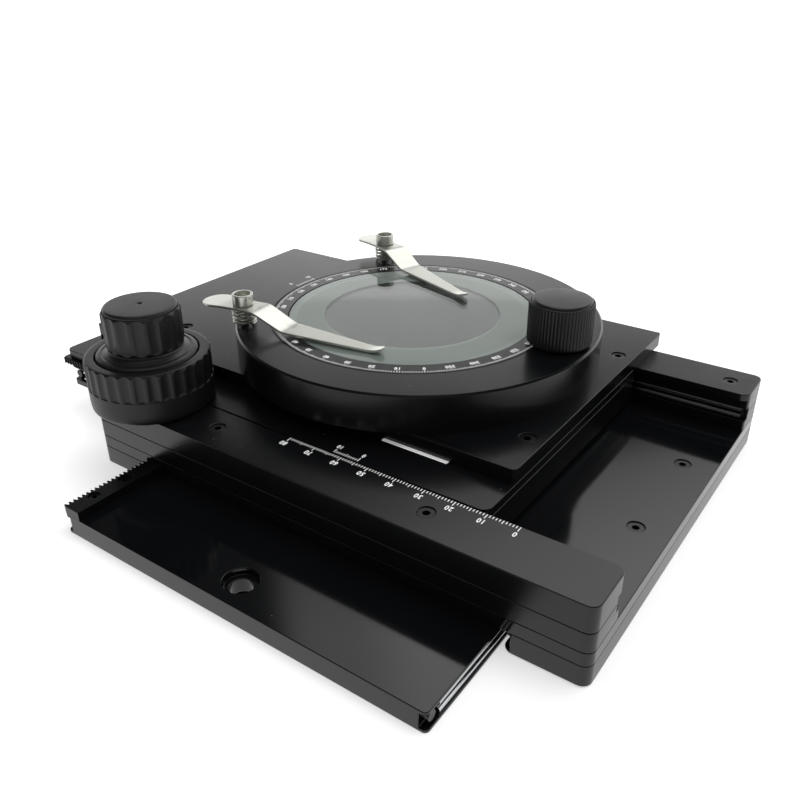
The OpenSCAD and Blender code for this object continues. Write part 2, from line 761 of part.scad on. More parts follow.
module slide_plate() {
    rebate_x1 = x_rack_x0 + x_rack_l + 0.3;
    color("#191a1c") difference() {
        plate(slide_x0, slide_y0, slide_x1, slide_y1, carriage_corner_r / 2, slide_z, slide_top);
        for (y = [x_way_y0, x_way_y1])
            translate([0, y, x_way_z])
                box([slide_x0 - over, -groove_depth, -groove_half_h],
                    [slide_x1 + over, groove_depth, groove_half_h]);
        box([slide_x0 - over, slide_y0 - over, x_rack_z - seat],
            [rebate_x1, slide_y0 + x_rack_w + seat, slide_top + over]);
        post(dial_x, dial_y, shaft_r, slide_z - over, slide_top + over);
        for (x = x_rack_screws_x)
            post(x, slide_y0 + 4.6, rack_screw_r + thread_gap, x_rack_z - 5, x_rack_z + over);
        for (p = top_screws)
            post(p[0], p[1], small_shank_r + thread_gap, slide_z + 1.5, slide_top + over);
        x_stop_places() rotate([0, 90, 0])
            translate([0, 0, -4]) cylinder(r = 0.8 + thread_gap, h = 5, $fn = round_fn);
    }
}

module slide_rods() {
    color("#c9ccd0") {
        rods_along_x(x_way_y0 + rod_reach, x_way_z, slide_x0 + rod_end_gap,
            slide_x1 - rod_end_gap);
        rods_along_x(x_way_y1 - rod_reach, x_way_z, slide_x0 + rod_end_gap,
            slide_x1 - rod_end_gap);
    }
}

// Places of the end-stop screws in the slide's grooves, +X pointing out of each groove
module x_stop_places() {
    for (x = [slide_x0 + rod_end_gap / 2, slide_x1 - rod_end_gap / 2]) {
        translate([x, x_way_y0 + groove_depth, x_way_z]) rotate([0, 0, -90]) children();
        translate([x, x_way_y1 - groove_depth, x_way_z]) rotate([0, 0, 90]) children();
    }
}

module x_stop_screws() {
    color("#b8babd") x_stop_places() stop_screw();
}

module x_rack() {
    color("#2a2b2e") difference() {
        translate([x_rack_x0, slide_y0, x_rack_z]) linear_extrude(x_rack_t)
            polygon(rack_points(rack_module, x_rack_l, x_rack_w, drive_x - x_rack_x0, backlash));
        for (x = x_rack_screws_x)
            screw_hole(x, slide_y0 + 4.6, slide_top, rack_head_r - 0.3, 1, rack_screw_r,
                x_rack_t + over);
    }
}

module x_rack_screws() {
    color("#57595c") for (x = x_rack_screws_x)
        screw(x, slide_y0 + 4.6, slide_top - head_sink, rack_head_r - 0.3, 1, rack_screw_r, 5.5);
}

module vernier_plate() {
    color("#202124") difference() {
        plate(carriage_x0, bar_in_y0 + vernier_gap, carriage_right, bar_in_y1 - vernier_gap,
            carriage_corner_r, slide_top, deck_z);
        post(dial_x, dial_y, shaft_r, slide_top - over, deck_z + over);
        for (p = top_screws)
            post(p[0], p[1], small_shank_r + thread_gap, slide_top - over, deck_z + over);
    }
}

module top_plate() {
    y0 = bar_in_y0 + top_setback;
    color("#202124") difference() {
        plate(carriage_x0, y0, carriage_right, y0 + top_d, carriage_corner_r / 2, top_z, ring_z);
        post(dial_x, dial_y, top_port_r, top_z - over, ring_z + over);
        for (p = top_screws)
            screw_hole(p[0], p[1], ring_z, small_head_r, small_head_h, small_shank_r,
                top_t + over);
        for (a = ring_screw_angles)
            translate([ring_x + ring_screw_r * cos(a), ring_y + ring_screw_r * sin(a), top_z])
                mirror([0, 0, 1])
                    screw_hole(0, 0, 0, small_head_r, small_head_h, small_shank_r, top_t + over);
    }
}

module top_plate_screws() {
    length = ring_z - head_sink - slide_z - 2;
    color("#3a3c3f") for (p = top_screws)
        screw(p[0], p[1], ring_z - head_sink, small_head_r, small_head_h, small_shank_r, length);
}

// ---------- rotary stage ----------

// Round housing with an eccentric bore, a ledge for the dial and a pocket for its pinion
module ring_housing() {
    color("#1e1f22") difference() {
        rotate_profile(ring_x, ring_y, [[0, ring_z], [ring_r, ring_z], [ring_r, stage_z - 0.6],
            [ring_r - 0.6, stage_z], [0, stage_z]]);
        post(dial_x, dial_y, bore_r, ledge_top, stage_z + over);
        post(dial_x, dial_y, ledge_r, ring_z - over, stage_z + over);
        post(knob_x, knob_y, ring_pocket_r, ring_z - over, ring_pinion_z1 + 0.3);
        post(knob_x, knob_y, ring_shaft_r + shaft_gap, ring_z, stage_z + over);
        for (a = ring_screw_angles)
            translate([ring_x + ring_screw_r * cos(a), ring_y + ring_screw_r * sin(a), 0])
                post(0, 0, small_shank_r + thread_gap, ring_z - over, ring_z + 6);
        for (p = studs)
            post(p[0], p[1], stem_r + thread_gap, stage_z - 6.5, stage_z + over);
    }
}

// A solid of revolution about a vertical axis, from points [radius, height]
module rotate_profile(x, y, points) {
    translate([x, y, 0]) rotate_extrude($fn = round_fn) polygon(points);
}

module ring_screws() {
    color("#57595c") for (a = ring_screw_angles)
        translate([ring_x + ring_screw_r * cos(a), ring_y + ring_screw_r * sin(a),
            top_z + head_sink])
            mirror([0, 0, 1])
                screw(0, 0, 0, small_head_r, small_head_h, small_shank_r, top_t + 5);
}

// Dial: a disc with its scale on top, gear teeth round its lower edge and a hub below
module dial() {
    color("#232427") translate([dial_x, dial_y, 0]) difference() {
        union() {
            rotate_profile(0, 0, [[0, dial_disc_z], [dial_r, dial_disc_z],
                [dial_r, stage_z - 0.2], [dial_r - 0.2, stage_z], [0, stage_z]]);
            translate([0, 0, dial_gear_z]) rotate([0, 0, ring_knob_angle])
                spur_gear(dial_module, dial_teeth, stub * dial_module,
                    (stub + 0.25) * dial_module, 2 * backlash, 2, dial_disc_z - dial_gear_z + 0.1);
            post(0, 0, hub_r, hub_z, dial_gear_z + 0.1);
        }
        post(0, 0, hub_bore_r, hub_z - over, dial_gear_z + 2);
        post(0, 0, dial_port_r, hub_z, stage_z);
        post(0, 0, glass_seat_r, glass_z, stage_z + over);
        rotate_profile(0, 0, [[glue_groove_r, glass_z - 0.6], [glass_seat_r, glass_z - 0.6],
            [glass_seat_r, glass_z + over], [glue_groove_r, glass_z + over]]);
        for (a = [45 : 90 : 315])
            post(retainer_screw_r * cos(a), retainer_screw_r * sin(a),
                rack_screw_r + thread_gap, hub_z - over, hub_z + 4.5);
    }
}

module dial_retainer() {
    color("#2a2b2e") translate([dial_x, dial_y, 0]) difference() {
        post(0, 0, retainer_r, hub_z - retainer_t, hub_z);
        post(0, 0, hub_bore_r, hub_z - retainer_t - over, hub_z + over);
        for (a = [45 : 90 : 315])
            translate([retainer_screw_r * cos(a), retainer_screw_r * sin(a), hub_z - retainer_t])
                mirror([0, 0, 1])
                    screw_hole(0, 0, 0, rack_head_r, 1, rack_screw_r, retainer_t + over);
    }
}

module retainer_screws() {
    color("#57595c") translate([dial_x, dial_y, hub_z - retainer_t + head_sink])
        for (a = [45 : 90 : 315])
            translate([retainer_screw_r * cos(a), retainer_screw_r * sin(a), 0])
                mirror([0, 0, 1]) screw(0, 0, 0, rack_head_r, 1, rack_screw_r, 5);
}

module stage_glass() {
    color("#9fb3ad") rotate_profile(dial_x, dial_y, [[0, glass_z], [glass_r, glass_z],
        [glass_r, glass_z + glass_t - 0.3], [glass_r - 0.3, glass_z + glass_t],
        [0, glass_z + glass_t]]);
}

module ring_pinion_shaft() {
    shaft_top = ring_knob_z1 - 4;
    color("#9a9da1") translate([knob_x, knob_y, 0]) {
        translate([0, 0, ring_pinion_z0]) rotate([0, 0, ring_knob_angle + 180 + 180 / ring_teeth])
            spur_gear(dial_module, ring_teeth, stub * dial_module, (stub + 0.25) * dial_module,
                2 * backlash, 4, ring_pinion_z1 - ring_pinion_z0);
        post(0, 0, ring_shaft_r, ring_pinion_z0 + 0.5, shaft_top);
    }
}

// A knob's round body with straight grooves of radius groove_r round its grip
module grip_cuts(r, count, groove_r, sink, z0, z1) {
    for (i = [0 : count - 1]) rotate([0, 0, i * 360 / count])
        translate([r + groove_r - sink, 0, z0]) cylinder(r = groove_r, h = z1 - z0, $fn = 24);
}

module ring_knob() {
    shaft_top = ring_knob_z1 - 4;
    color("#17181a") translate([knob_x, knob_y, 0]) difference() {
        rotate_profile(0, 0, [[0, ring_knob_z0], [ring_knob_r - 0.9, ring_knob_z0],
            [ring_knob_r, ring_knob_z0 + 1], [ring_knob_r, ring_knob_z1 - 1.2],
            [ring_knob_r - 0.5, ring_knob_z1 - 0.4], [ring_knob_r - 1, ring_knob_z1],
            [0, ring_knob_z1]]);
        post(0, 0, ring_cap_r + seat, ring_knob_z1 - 1.4, ring_knob_z1 + over);
        post(0, 0, ring_shaft_r + seat, ring_knob_z0 - over, shaft_top + seat);
        grip_cuts(ring_knob_r, knurls, 0.45, 0.28, ring_knob_z0 - over, ring_knob_z1 - 0.7);
    }
}

// A flat cap with a bevelled rim in a knob's top
module knob_cap(r, z0, z1) {
    rotate_profile(0, 0, [[0, z0], [r, z0], [r, z1 - 0.5], [r - 0.4, z1 - 0.1],
        [r - 0.9, z1], [0, z1 + 0.15]]);
}

module ring_knob_cap() {
    color("#1c1d1f") translate([knob_x, knob_y, 0])
        knob_cap(ring_cap_r, ring_knob_z1 - 1.4 + seat, ring_knob_z1 + 0.4);
}

// ---------- drive knobs ----------

module large_knob() {
    color("#17181a") translate([drive_x, drive_y, 0]) difference() {
        rotate_profile(0, 0, [[0, large_z0], [large_knob_r - 1.6, large_z0],
            [large_knob_r - 0.6, large_z0 + 0.8], [large_knob_r - 0.2, large_z0 + 2.2],
            [large_knob_r - 0.2, flute_z0], [large_knob_r, flute_z0 + 0.3],
            [large_knob_r, large_z1 - 1.6], [large_knob_r - 0.9, large_z1 - 0.4],
            [large_knob_r - 2, large_z1], [0, large_z1]]);
        post(0, 0, recess_r, large_z1 - recess_depth, large_z1 + over);
        post(0, 0, bush_r + 0.4, large_z0 - over, bush_top + 0.4);
        post(0, 0, bush_flange_r + 0.4, large_z0 - over, large_z0 + 0.3);
        post(0, 0, hollow_r + seat, large_z0, large_z1);
        grip_cuts(large_knob_r, large_flutes, 1.5, 0.55, flute_z0 + 0.3, large_z1 - 1);
    }
}

// Hollow shaft with the pinion that moves the X rack
module x_pinion_shaft() {
    color("#9a9da1") translate([drive_x, drive_y, 0]) difference() {
        union() {
            translate([0, 0, x_pinion_z0]) rotate([0, 0, 90])
                spur_gear(rack_module, drive_teeth, rack_module, 1.25 * rack_module, backlash, 3,
                    x_pinion_z1 - x_pinion_z0);
            post(0, 0, hollow_r, x_pinion_z0 + 0.5, large_z1 - recess_depth);
        }
        post(0, 0, inner_shaft_r + shaft_gap, x_pinion_z0 - over, large_z1);
    }
}

module small_knob() {
    neck_r = small_knob_r - 0.7;
    color("#17181a") translate([drive_x, drive_y, 0]) difference() {
        rotate_profile(0, 0, [[0, flange_z0], [flange_r - 0.3, flange_z0],
            [flange_r, flange_z0 + 0.3], [flange_r, flange_z1 - 0.9],
            [flange_r - 0.5, flange_z1 - 0.4], [small_knob_r + 2, flange_z1],
            [small_knob_r + 1.6, flange_z1 - 0.2], [small_knob_r + 1.2, flange_z1],
            [neck_r + 0.6, flange_z1 + 0.5], [neck_r, grip_z0],
            [small_knob_r, grip_z0 + 0.8], [small_knob_r, grip_z1 - 1.3],
            [small_knob_r - 0.4, grip_z1 - 0.5], [small_knob_r - 1.1, grip_z1], [0, grip_z1]]);
        post(0, 0, small_cap_r + seat, grip_z1 - cap_seat_depth, grip_z1 + over);
        post(0, 0, inner_shaft_r + seat, flange_z0 - over, grip_z1 - cap_seat_depth - 1.5);
        grip_cuts(small_knob_r, small_flutes, 3, 0.45, grip_z0, grip_z1 - 0.9);
    }
}

module small_knob_cap() {
    color("#1c1d1f") translate([drive_x, drive_y, 0]) difference() {
        knob_cap(small_cap_r, grip_z1 - cap_seat_depth + seat, grip_z1 + cap_rise);
        post(0, 0, 0.7, grip_z1 + cap_rise - 0.6, grip_z1 + cap_rise + over);
    }
}

// Inner shaft with the pinion that runs on the Y rack
module y_pinion_shaft() {
    color("#9a9da1") translate([drive_x, drive_y, 0]) {
        translate([0, 0, y_pinion_z0])
            spur_gear(rack_module, drive_teeth, rack_module, 1.25 * rack_module, backlash, 3,
                y_pinion_z1 - y_pinion_z0);
        post(0, 0, inner_shaft_r, y_pinion_z0 + 0.5, grip_z1 - cap_seat_depth - 1.6);
    }
}

// ---------- stage clips ----------

// Stud with a stem through the spring and leaf, and a hollow round head
module clip_studs() {
    head_z = leaf_z + leaf_t + 0.15;
    color("#d6d3c8") for (p = studs) translate([p[0], p[1], 0]) difference() {
        union() {
            post(0, 0, stem_r, stage_z - 6, head_z + 0.5);
            rotate_profile(0, 0, [[0, head_z], [head_r - 0.2, head_z], [head_r, head_z + 0.2],
                [head_r, head_z + head_h - 0.3], [head_r - 0.3, head_z + head_h],
                [0, head_z + head_h]]);
        }
        post(0, 0, head_r - 0.9, head_z + 1, head_z + head_h + over);
    }
}

// Centre line of a clip spring: a level end turn, rising turns, and a level end turn
function spring_height(t) =
    let (rise = spring_h - wire_d, u = t / spring_turns)
    wire_d / 2 + rise * (u < 0.5 ? pow(2 * u, 1.25) / 2 : 1 - pow(2 - 2 * u, 1.25) / 2);
spring_rings = 12;         // rings of points in one turn
spring_points = [for (i = [0 : spring_rings * spring_turns])
    let (t = i / spring_rings)
    [spring_mid_r * cos(360 * t), spring_mid_r * sin(360 * t), spring_height(t)]];

// A round tube with six sides along a helix about Z
module helix_tube(points, d) {
    n = len(points);
    sides = 6;
    rings = [for (i = [0 : n - 1])
        let (p = points[i], a = points[max(0, i - 1)], b = points[min(n - 1, i + 1)],
            along = (b - a) / norm(b - a), out = [p[0], p[1], 0] / norm([p[0], p[1]]),
            side = cross(along, out) / norm(cross(along, out)), up = cross(side, along))
        for (k = [0 : sides - 1]) let (q = 360 * k / sides)
            p + d / 2 * (cos(q) * up + sin(q) * side)];
    walls = [for (i = [0 : n - 2], k = [0 : sides - 1])
        let (a = i * sides + k, b = i * sides + (k + 1) % sides)
        each [[a, a + sides, b], [b, a + sides, b + sides]]];
    ends = [for (k = [1 : sides - 2]) each [[0, k, k + 1],
        [(n - 1) * sides, (n - 1) * sides + k + 1, (n - 1) * sides + k]]];
    polyhedron(points = rings, faces = concat(walls, ends));
}

// Least gap of a spring to itself, measured between points at least 0.6 of a turn apart
spring_gap = min([for (i = [0 : len(spring_points) - 1],
    j = [i + ceil(0.6 * spring_rings) : 1 : len(spring_points) - 1])
    norm(spring_points[i] - spring_points[j])]) - wire_d;
echo(spring_gap = spring_gap);

module clip_springs() {
    color("#c4c6c8") for (p = studs) translate([p[0], p[1], stage_z])
        helix_tube(spring_points, wire_d);
}

// Side view of a leaf along +X: level over its stud, a step down, a sloping arm, a lifted tip
function leaf_line() = [[-18, -0.6], [-7, 0], [8, 0], [19, -4.9], [leaf_l - 5.5, -5.7],
    [leaf_l - 3, -5.5], [leaf_l + 1, -4.2]];

module leaf_side() {
    low = leaf_line();
    n = len(low);
    polygon(concat(low, [for (i = [n - 1 : -1 : 0]) low[i] + [0, leaf_t]]));
}

// Plan of a leaf: round thumb end, waist at the stud, broad shoulder and tapering arm
module leaf_plan() {
    tip_r = 1.9;
    translate([-11, 0]) circle(paddle_r, $fn = 64);
    polygon([[-11, -paddle_r], [-5, -5], [5, -4.6], [8, -5], [19, -4.6],
        [leaf_l - tip_r, -tip_r], [leaf_l - tip_r, tip_r], [19, 4.6], [8, 5], [5, 4.6],
        [-5, 5], [-11, paddle_r]]);
    translate([leaf_l - tip_r, 0]) circle(tip_r, $fn = 32);
}

module clip_leaf(place, angle) {
    color("#d6d3c8") translate([place[0], place[1], leaf_z]) rotate([0, 0, angle])
        difference() {
            intersection() {
                rotate([90, 0, 0]) linear_extrude(16, center = true) leaf_side();
                translate([0, 0, -10]) linear_extrude(20) leaf_plan();
            }
            post(0, 0, stem_r + 0.3, -over, leaf_t + over);
        }
}

module left_clip_leaf() {
    clip_leaf(studs[0], left_leaf_angle);
}

module right_clip_leaf() {
    clip_leaf(studs[1], right_leaf_angle);
}

base_plate();
y_rack();
y_rack_screws();
base_rods();
y_stop_screws();
main_plate();
left_rail();
right_rail();
rail_rods();
rail_screws();
front_lower_bar();
back_lower_bar();
front_scale_bar();
back_upper_bar();
bar_rods();
bar_screws();
shaft_bush();
y_cages();
y_balls();
x_cages();
x_balls();
slide_plate();
slide_rods();
x_stop_screws();
x_rack();
x_rack_screws();
vernier_plate();
top_plate();
top_plate_screws();
ring_housing();
ring_screws();
clip_studs();
clip_springs();
dial();
dial_retainer();
retainer_screws();
stage_glass();
ring_pinion_shaft();
ring_knob();
ring_knob_cap();
large_knob();
x_pinion_shaft();
small_knob();
small_knob_cap();
y_pinion_shaft();
left_clip_leaf();
right_clip_leaf();
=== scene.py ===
"""Look of a mechanical microscope stage: black anodised slides, a rotary glass stage with two
spring clips, two coaxial drive knobs and a knurled knob. Lengths are millimetres until a mesh
is made. The frame: origin under the light port's axis, +X right, +Y away from the user, +Z up.
"""
import json
import math

import bmesh
import bpy
import numpy as np
from mathutils import Matrix, Vector


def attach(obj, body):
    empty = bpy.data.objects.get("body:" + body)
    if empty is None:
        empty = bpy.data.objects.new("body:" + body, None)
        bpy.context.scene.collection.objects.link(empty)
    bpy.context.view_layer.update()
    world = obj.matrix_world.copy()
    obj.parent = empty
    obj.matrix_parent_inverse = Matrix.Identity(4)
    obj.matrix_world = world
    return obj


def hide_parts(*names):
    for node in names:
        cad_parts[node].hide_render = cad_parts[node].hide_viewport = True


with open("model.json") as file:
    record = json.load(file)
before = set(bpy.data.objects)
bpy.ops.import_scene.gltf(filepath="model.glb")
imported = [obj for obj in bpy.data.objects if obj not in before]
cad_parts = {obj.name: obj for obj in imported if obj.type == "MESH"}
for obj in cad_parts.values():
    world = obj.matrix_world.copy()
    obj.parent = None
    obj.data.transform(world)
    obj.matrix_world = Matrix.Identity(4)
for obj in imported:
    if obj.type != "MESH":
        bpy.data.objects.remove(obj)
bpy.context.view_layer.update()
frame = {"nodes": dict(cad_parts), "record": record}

MM = 0.001
TURN = 2 * math.pi
BODY_OF = {n: b for b, ns in frame["record"]["behaviour"]["bodies"].items() for n in ns}

# ---------- sizes of the object that the pieces below stand on, in millimetres ----------

DECK_Z = 25.8                                  # top of the scale bar and the vernier plate
STAGE_Z = 43.8                                 # top of the ring housing and the dial
BAR_EDGE_Y = -39.0                             # the scale bar's inner edge
SCALE_0_X, VERNIER_0_X = 62.75, 7.75           # where the scale's and the vernier's 0 stand
VERNIER_STEP = 0.9                             # ten of these are nine of the scale's
DIAL = np.array([-20.05, 31.0])                # axis of the dial
DIAL_OPENING_R = 31.6                          # opening under the glass
DIAL_0_DEG, DIAL_VERNIER_0_DEG = -51.0, 183.4  # where the dial's and its vernier's 0 stand
DRIVE = np.array([-72.85, -46.0])              # axis of the two coaxial knobs
RING_KNOB = DIAL + 56.0 * np.array([math.cos(math.radians(5)), math.sin(math.radians(5))])
STUDS = [DIAL + np.array([-42.8, -41.9]), DIAL + np.array([-42.8, 41.9])]
LEAF_Z = STAGE_Z + 6.1                         # underside of a clip leaf at its stud
LEAF_T = 0.8                                   # thickness of a leaf
LEAF_L = 56.5                                  # from the stud's axis to the tip
LEAF_DEG = [6.5, -21.4]                        # where the leaves point at rest, from +X
MARK_T = 0.02                                  # how far the paint of a mark stands proud
SIZE_PER_DIGIT = 1.37                          # the font's size over the height of its digits
RECESS_REACH, RECESS_SHARE = 3.75, 0.7         # bar screws: what to narrow, and how much

# ---------- shaders ----------


class Field:
    """A value in a shader tree. Arithmetic on it adds Math nodes, so a formula reads as one."""

    def __init__(self, net, socket):
        self.net, self.socket = net, socket

    def __add__(self, o):
        return self.net.math("ADD", self, o)

    def __sub__(self, o):
        return self.net.math("SUBTRACT", self, o)

    def __rsub__(self, o):
        return self.net.math("SUBTRACT", o, self)

    def __mul__(self, o):
        return self.net.math("MULTIPLY", self, o)

    def __truediv__(self, o):
        return self.net.math("DIVIDE", self, o)

    def __rtruediv__(self, o):
        return self.net.math("DIVIDE", o, self)

    def __pow__(self, o):
        return self.net.math("POWER", self, o)

    __radd__, __rmul__ = __add__, __mul__

    def rise(self, low, high):
        """0 below low, 1 above high and a smooth step between them."""
        node = self.net.add("MapRange", {"interpolation_type": "SMOOTHSTEP"},
                            {"Value": self, "From Min": low, "From Max": high})
        return self.net.out(node, "Result")


class Net:
    """One shader tree. add() makes any node from its type, its settings and its sockets."""

    def __init__(self, tree):
        self.tree = tree
        tree.nodes.clear()

    def add(self, kind, settings=None, sockets=None):
        node = self.tree.nodes.new("ShaderNode" + kind)
        for name, value in (settings or {}).items():
            setattr(node, name, value)
        for key, value in (sockets or {}).items():
            if isinstance(value, Field):
                self.tree.links.new(value.socket, node.inputs[key])
            else:
                node.inputs[key].default_value = value
        return node

    def out(self, node, name=0):
        return Field(self, node.outputs[name])

    def math(self, operation, *values):
        return self.out(self.add("Math", {"operation": operation}, dict(enumerate(values))))

    def noise(self, where, per_mm, detail=3.0, rough=0.5):
        """Noise from 0 to 1 with that many features a millimetre."""
        return self.out(self.add("TexNoise", None, {"Vector": where, "Scale": per_mm / MM,
                                                    "Detail": detail, "Roughness": rough}), 0)

    def stretch(self, where, scale):
        return self.out(self.add("VectorMath", {"operation": "MULTIPLY"}, {0: where, 1: scale}))

    def mix(self, share, a, b):
        """Colour a at share 0 and colour b at share 1."""
        node = self.add("Mix", {"data_type": "RGBA"}, {0: share, 6: a, 7: b})
        return self.out(node, 2)

    def bump(self, height, depth_mm):
        return self.out(self.add("Bump", None, {"Height": height, "Strength": 1.0,
                                                "Distance": depth_mm * MM}))

    def both(self, kind, first, a, b, sockets=None):
        """An Add or Mix shader of shaders a and b, whose first shader socket has that index."""
        node = self.add(kind, None, sockets)
        self.tree.links.new(a.outputs[0], node.inputs[first])
        self.tree.links.new(b.outputs[0], node.inputs[first + 1])
        return node

    def finish(self, shader, kind="Material"):
        node = self.add("Output" + kind)
        self.tree.links.new(shader.outputs[0], node.inputs["Surface"])


def material(name, build, sockets):
    """A material whose principled shader has build(net, place)'s varying sockets and constants."""
    made = bpy.data.materials.new(name)
    made.use_nodes = True
    net = Net(made.node_tree)
    place = net.out(net.add("TexCoord"), "Object")
    values = dict(sockets)
    values.update(build(net, place))
    net.finish(net.add("BsdfPrincipled", None, values))
    return made


def rgba(r, g, b):
    return (r, g, b, 1.0)


def dust(net, place, per_mm, share):
    """1 on sparse round specks about a tenth of a cell wide, else 0."""
    cell = net.add("TexVoronoi", None, {"Vector": place, "Scale": per_mm / MM})
    near = 1.0 - net.out(cell, "Distance").rise(0.035, 0.075)
    pick = net.out(net.add("SeparateColor", None, {0: net.out(cell, "Color")}), 0)
    return near * pick.rise(1.0 - share, 1.0 - share + 0.02)


def anodised(rough_low, rough_high, grain_depth):
    """Dyed oxide on blasted aluminium: near-black, fine grain, slight clouds and stray dust."""
    def build(net, place):
        cloud = net.noise(place, 0.03, 3.0)
        grain = net.noise(place, 3.2, 2.0)
        speck = dust(net, place, 0.3, 0.09)
        colour = net.mix(cloud * 0.7 + grain * 0.3, rgba(0.0028, 0.0032, 0.0038),
                         rgba(0.0056, 0.006, 0.0068))
        colour = net.mix(speck * 0.5, colour, rgba(0.2, 0.2, 0.195))
        rough = cloud * (rough_high - rough_low) + rough_low + grain * 0.03
        return {"Base Color": colour, "Roughness": rough + speck * 0.2,
                "Normal": net.bump(grain, grain_depth)}
    return build


def metal(dark, pale, rough, stretch, depth=0.002, vary=0.16):
    """A metal: stretch squeezes its noise into drawn or ground lines, depth is in mm, and vary
    says how much the lines change the roughness."""
    def build(net, place):
        lines = net.noise(net.stretch(place, stretch), 2.4, 4.0, 0.6)
        cloud = net.noise(place, 0.15, 3.0)
        return {"Base Color": net.mix(lines * 0.6 + cloud * 0.4, dark, pale),
                "Roughness": rough + (lines - 0.5) * vary + (cloud - 0.5) * 0.1,
                "Normal": net.bump(lines, depth)}
    return build


def plastic(net, place):
    """Moulded black plastic: spark-eroded grain, a slight polish where fingers turn it."""
    grain = net.noise(place, 4.5, 2.0)
    worn = net.noise(place, 0.12, 4.0)
    speck = dust(net, place, 0.4, 0.08)
    colour = net.mix(worn, rgba(0.006, 0.006, 0.0065), rgba(0.0115, 0.0115, 0.012))
    return {"Base Color": net.mix(speck * 0.25, colour, rgba(0.16, 0.16, 0.16)),
            "Roughness": 0.26 + worn * 0.14 + grain * 0.08,
            "Normal": net.bump(grain, 0.02)}


def paint(net, place):
    """White filling of engraved marks, a little thin in places."""
    worn = net.noise(place, 1.6, 3.0)
    return {"Base Color": net.mix(worn.rise(0.45, 0.85), rgba(0.95, 0.96, 0.96),
                                  rgba(0.74, 0.75, 0.76)),
            "Roughness": 0.5 + worn * 0.2, "Normal": net.bump(worn, 0.01)}


def stage_glass():
    """Clear plate glass, slightly green and faintly smudged. Outside the dial's opening, over the
    ledge the glass rests on, a paler grey-green shader is mixed in: painted light for the lit
    black ledge."""
    made = bpy.data.materials.new("stage_glass")
    made.use_nodes = True
    net = Net(made.node_tree)
    place = net.out(net.add("TexCoord"), "Object")
    parts = net.add("SeparateXYZ", None, {0: place})
    dx, dy = (net.out(parts, k) - c * MM for k, c in zip("XY", DIAL))
    r = (dx * dx + dy * dy) ** 0.5 / MM
    wipe = net.noise(place, 0.05, 3.0)
    clear = net.add("BsdfPrincipled", None, {
        "IOR": 1.5, "Transmission Weight": 1.0, "Roughness": wipe.rise(0.5, 0.8) * 0.04,
        "Base Color": net.mix(wipe, rgba(0.92, 0.97, 0.94), rgba(0.96, 0.99, 0.97))})
    # painted light: a paler grey-green gloss stands in for the black ledge lit through the glass;
    # it takes 0.56 of the glass outside the opening and 0.06 inside
    ledge_painted_light = net.add("BsdfPrincipled", None, {
        "IOR": 1.5, "Roughness": 0.02 + wipe * 0.05,
        "Base Color": net.mix(wipe, rgba(0.31, 0.37, 0.33), rgba(0.35, 0.41, 0.37))})
    share = r.rise(DIAL_OPENING_R - 0.2, DIAL_OPENING_R + 0.2) * 0.5 + 0.06
    net.finish(net.both("MixShader", 1, clear, ledge_painted_light, {0: share}))
    return made


DULL = {"IOR": 1.5, "Metallic": 0.0}
METAL = {"Metallic": 1.0}
MATERIALS = {
    "black_anodised": material("black_anodised", anodised(0.17, 0.27, 0.012), DULL),
    "gloss_black": material("gloss_black", anodised(0.05, 0.1, 0.003), DULL),
    "rod_steel": material("rod_steel", metal(rgba(0.5, 0.51, 0.53), rgba(0.68, 0.69, 0.7), 0.22,
                                             (0.3, 0.3, 3.0)), METAL),
    "dark_steel": material("dark_steel", metal(rgba(0.03, 0.03, 0.032), rgba(0.09, 0.09, 0.095),
                                               0.34, (1.0, 1.0, 1.0)), METAL),
    "ball_steel": material("ball_steel", metal(rgba(0.7, 0.71, 0.73), rgba(0.8, 0.81, 0.83),
                                               0.14, (1.0, 1.0, 1.0), 0.0005), METAL),
    "cage_brass": material("cage_brass", metal(rgba(0.52, 0.38, 0.16), rgba(0.7, 0.54, 0.27),
                                               0.3, (0.4, 0.4, 2.0)), METAL),
    "bush_bronze": material("bush_bronze", metal(rgba(0.42, 0.3, 0.14), rgba(0.6, 0.45, 0.24),
                                                 0.32, (0.4, 0.4, 3.0)), METAL),
    "shaft_steel": material("shaft_steel", metal(rgba(0.42, 0.43, 0.45), rgba(0.6, 0.61, 0.63),
                                                 0.26, (0.4, 0.4, 3.0)), METAL),
    "clip_nickel": material("clip_nickel", metal(rgba(0.67, 0.68, 0.61), rgba(0.8, 0.81, 0.75),
                                                 0.3, (1.0, 1.0, 1.0), 0.0004, 0.06),
                            {"Metallic": 0.87, "IOR": 1.5}),
    "knob_plastic": material("knob_plastic", plastic, DULL),
    "stage_glass": stage_glass(),
    # painted light: the white filling glows a little (emission 0.22), so the marks and the strip
    # look brighter than their lighting makes them
    "white_fill": material("white_fill", paint, {
        **DULL, "Emission Color": rgba(1, 1, 1), "Emission Strength": 0.22}),
}

# ---------- meshes ----------


def to_object(name, body, points, faces, look, slot=None, replaces=()):
    """An object from points in millimetres and faces, on that body, see place_mesh()."""
    mesh = bpy.data.meshes.new(name)
    mesh.from_pydata((np.asarray(points).reshape(-1, 3) * MM).tolist(), [],
                     [list(map(int, f)) for f in faces])
    return place_mesh(name, body, mesh, look, replaces)


def place_mesh(name, body, mesh, look, replaces=(), smooth_deg=35.0):
    """Joins seams, smooths all but the edges sharper than smooth_deg and puts it on its body."""
    work = bmesh.new()
    work.from_mesh(mesh)
    bmesh.ops.remove_doubles(work, verts=work.verts, dist=1e-7)
    bmesh.ops.dissolve_degenerate(work, edges=work.edges, dist=1e-8)
    work.to_mesh(mesh)
    work.free()
    mesh.shade_smooth()
    mesh.set_sharp_from_angle(angle=math.radians(smooth_deg))
    mesh.materials.clear()
    mesh.materials.append(MATERIALS[look])
    made = bpy.data.objects.new(name, mesh)
    bpy.context.scene.collection.objects.link(made)
    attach(made, body)
    if replaces:
        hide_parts(*replaces)
    return made


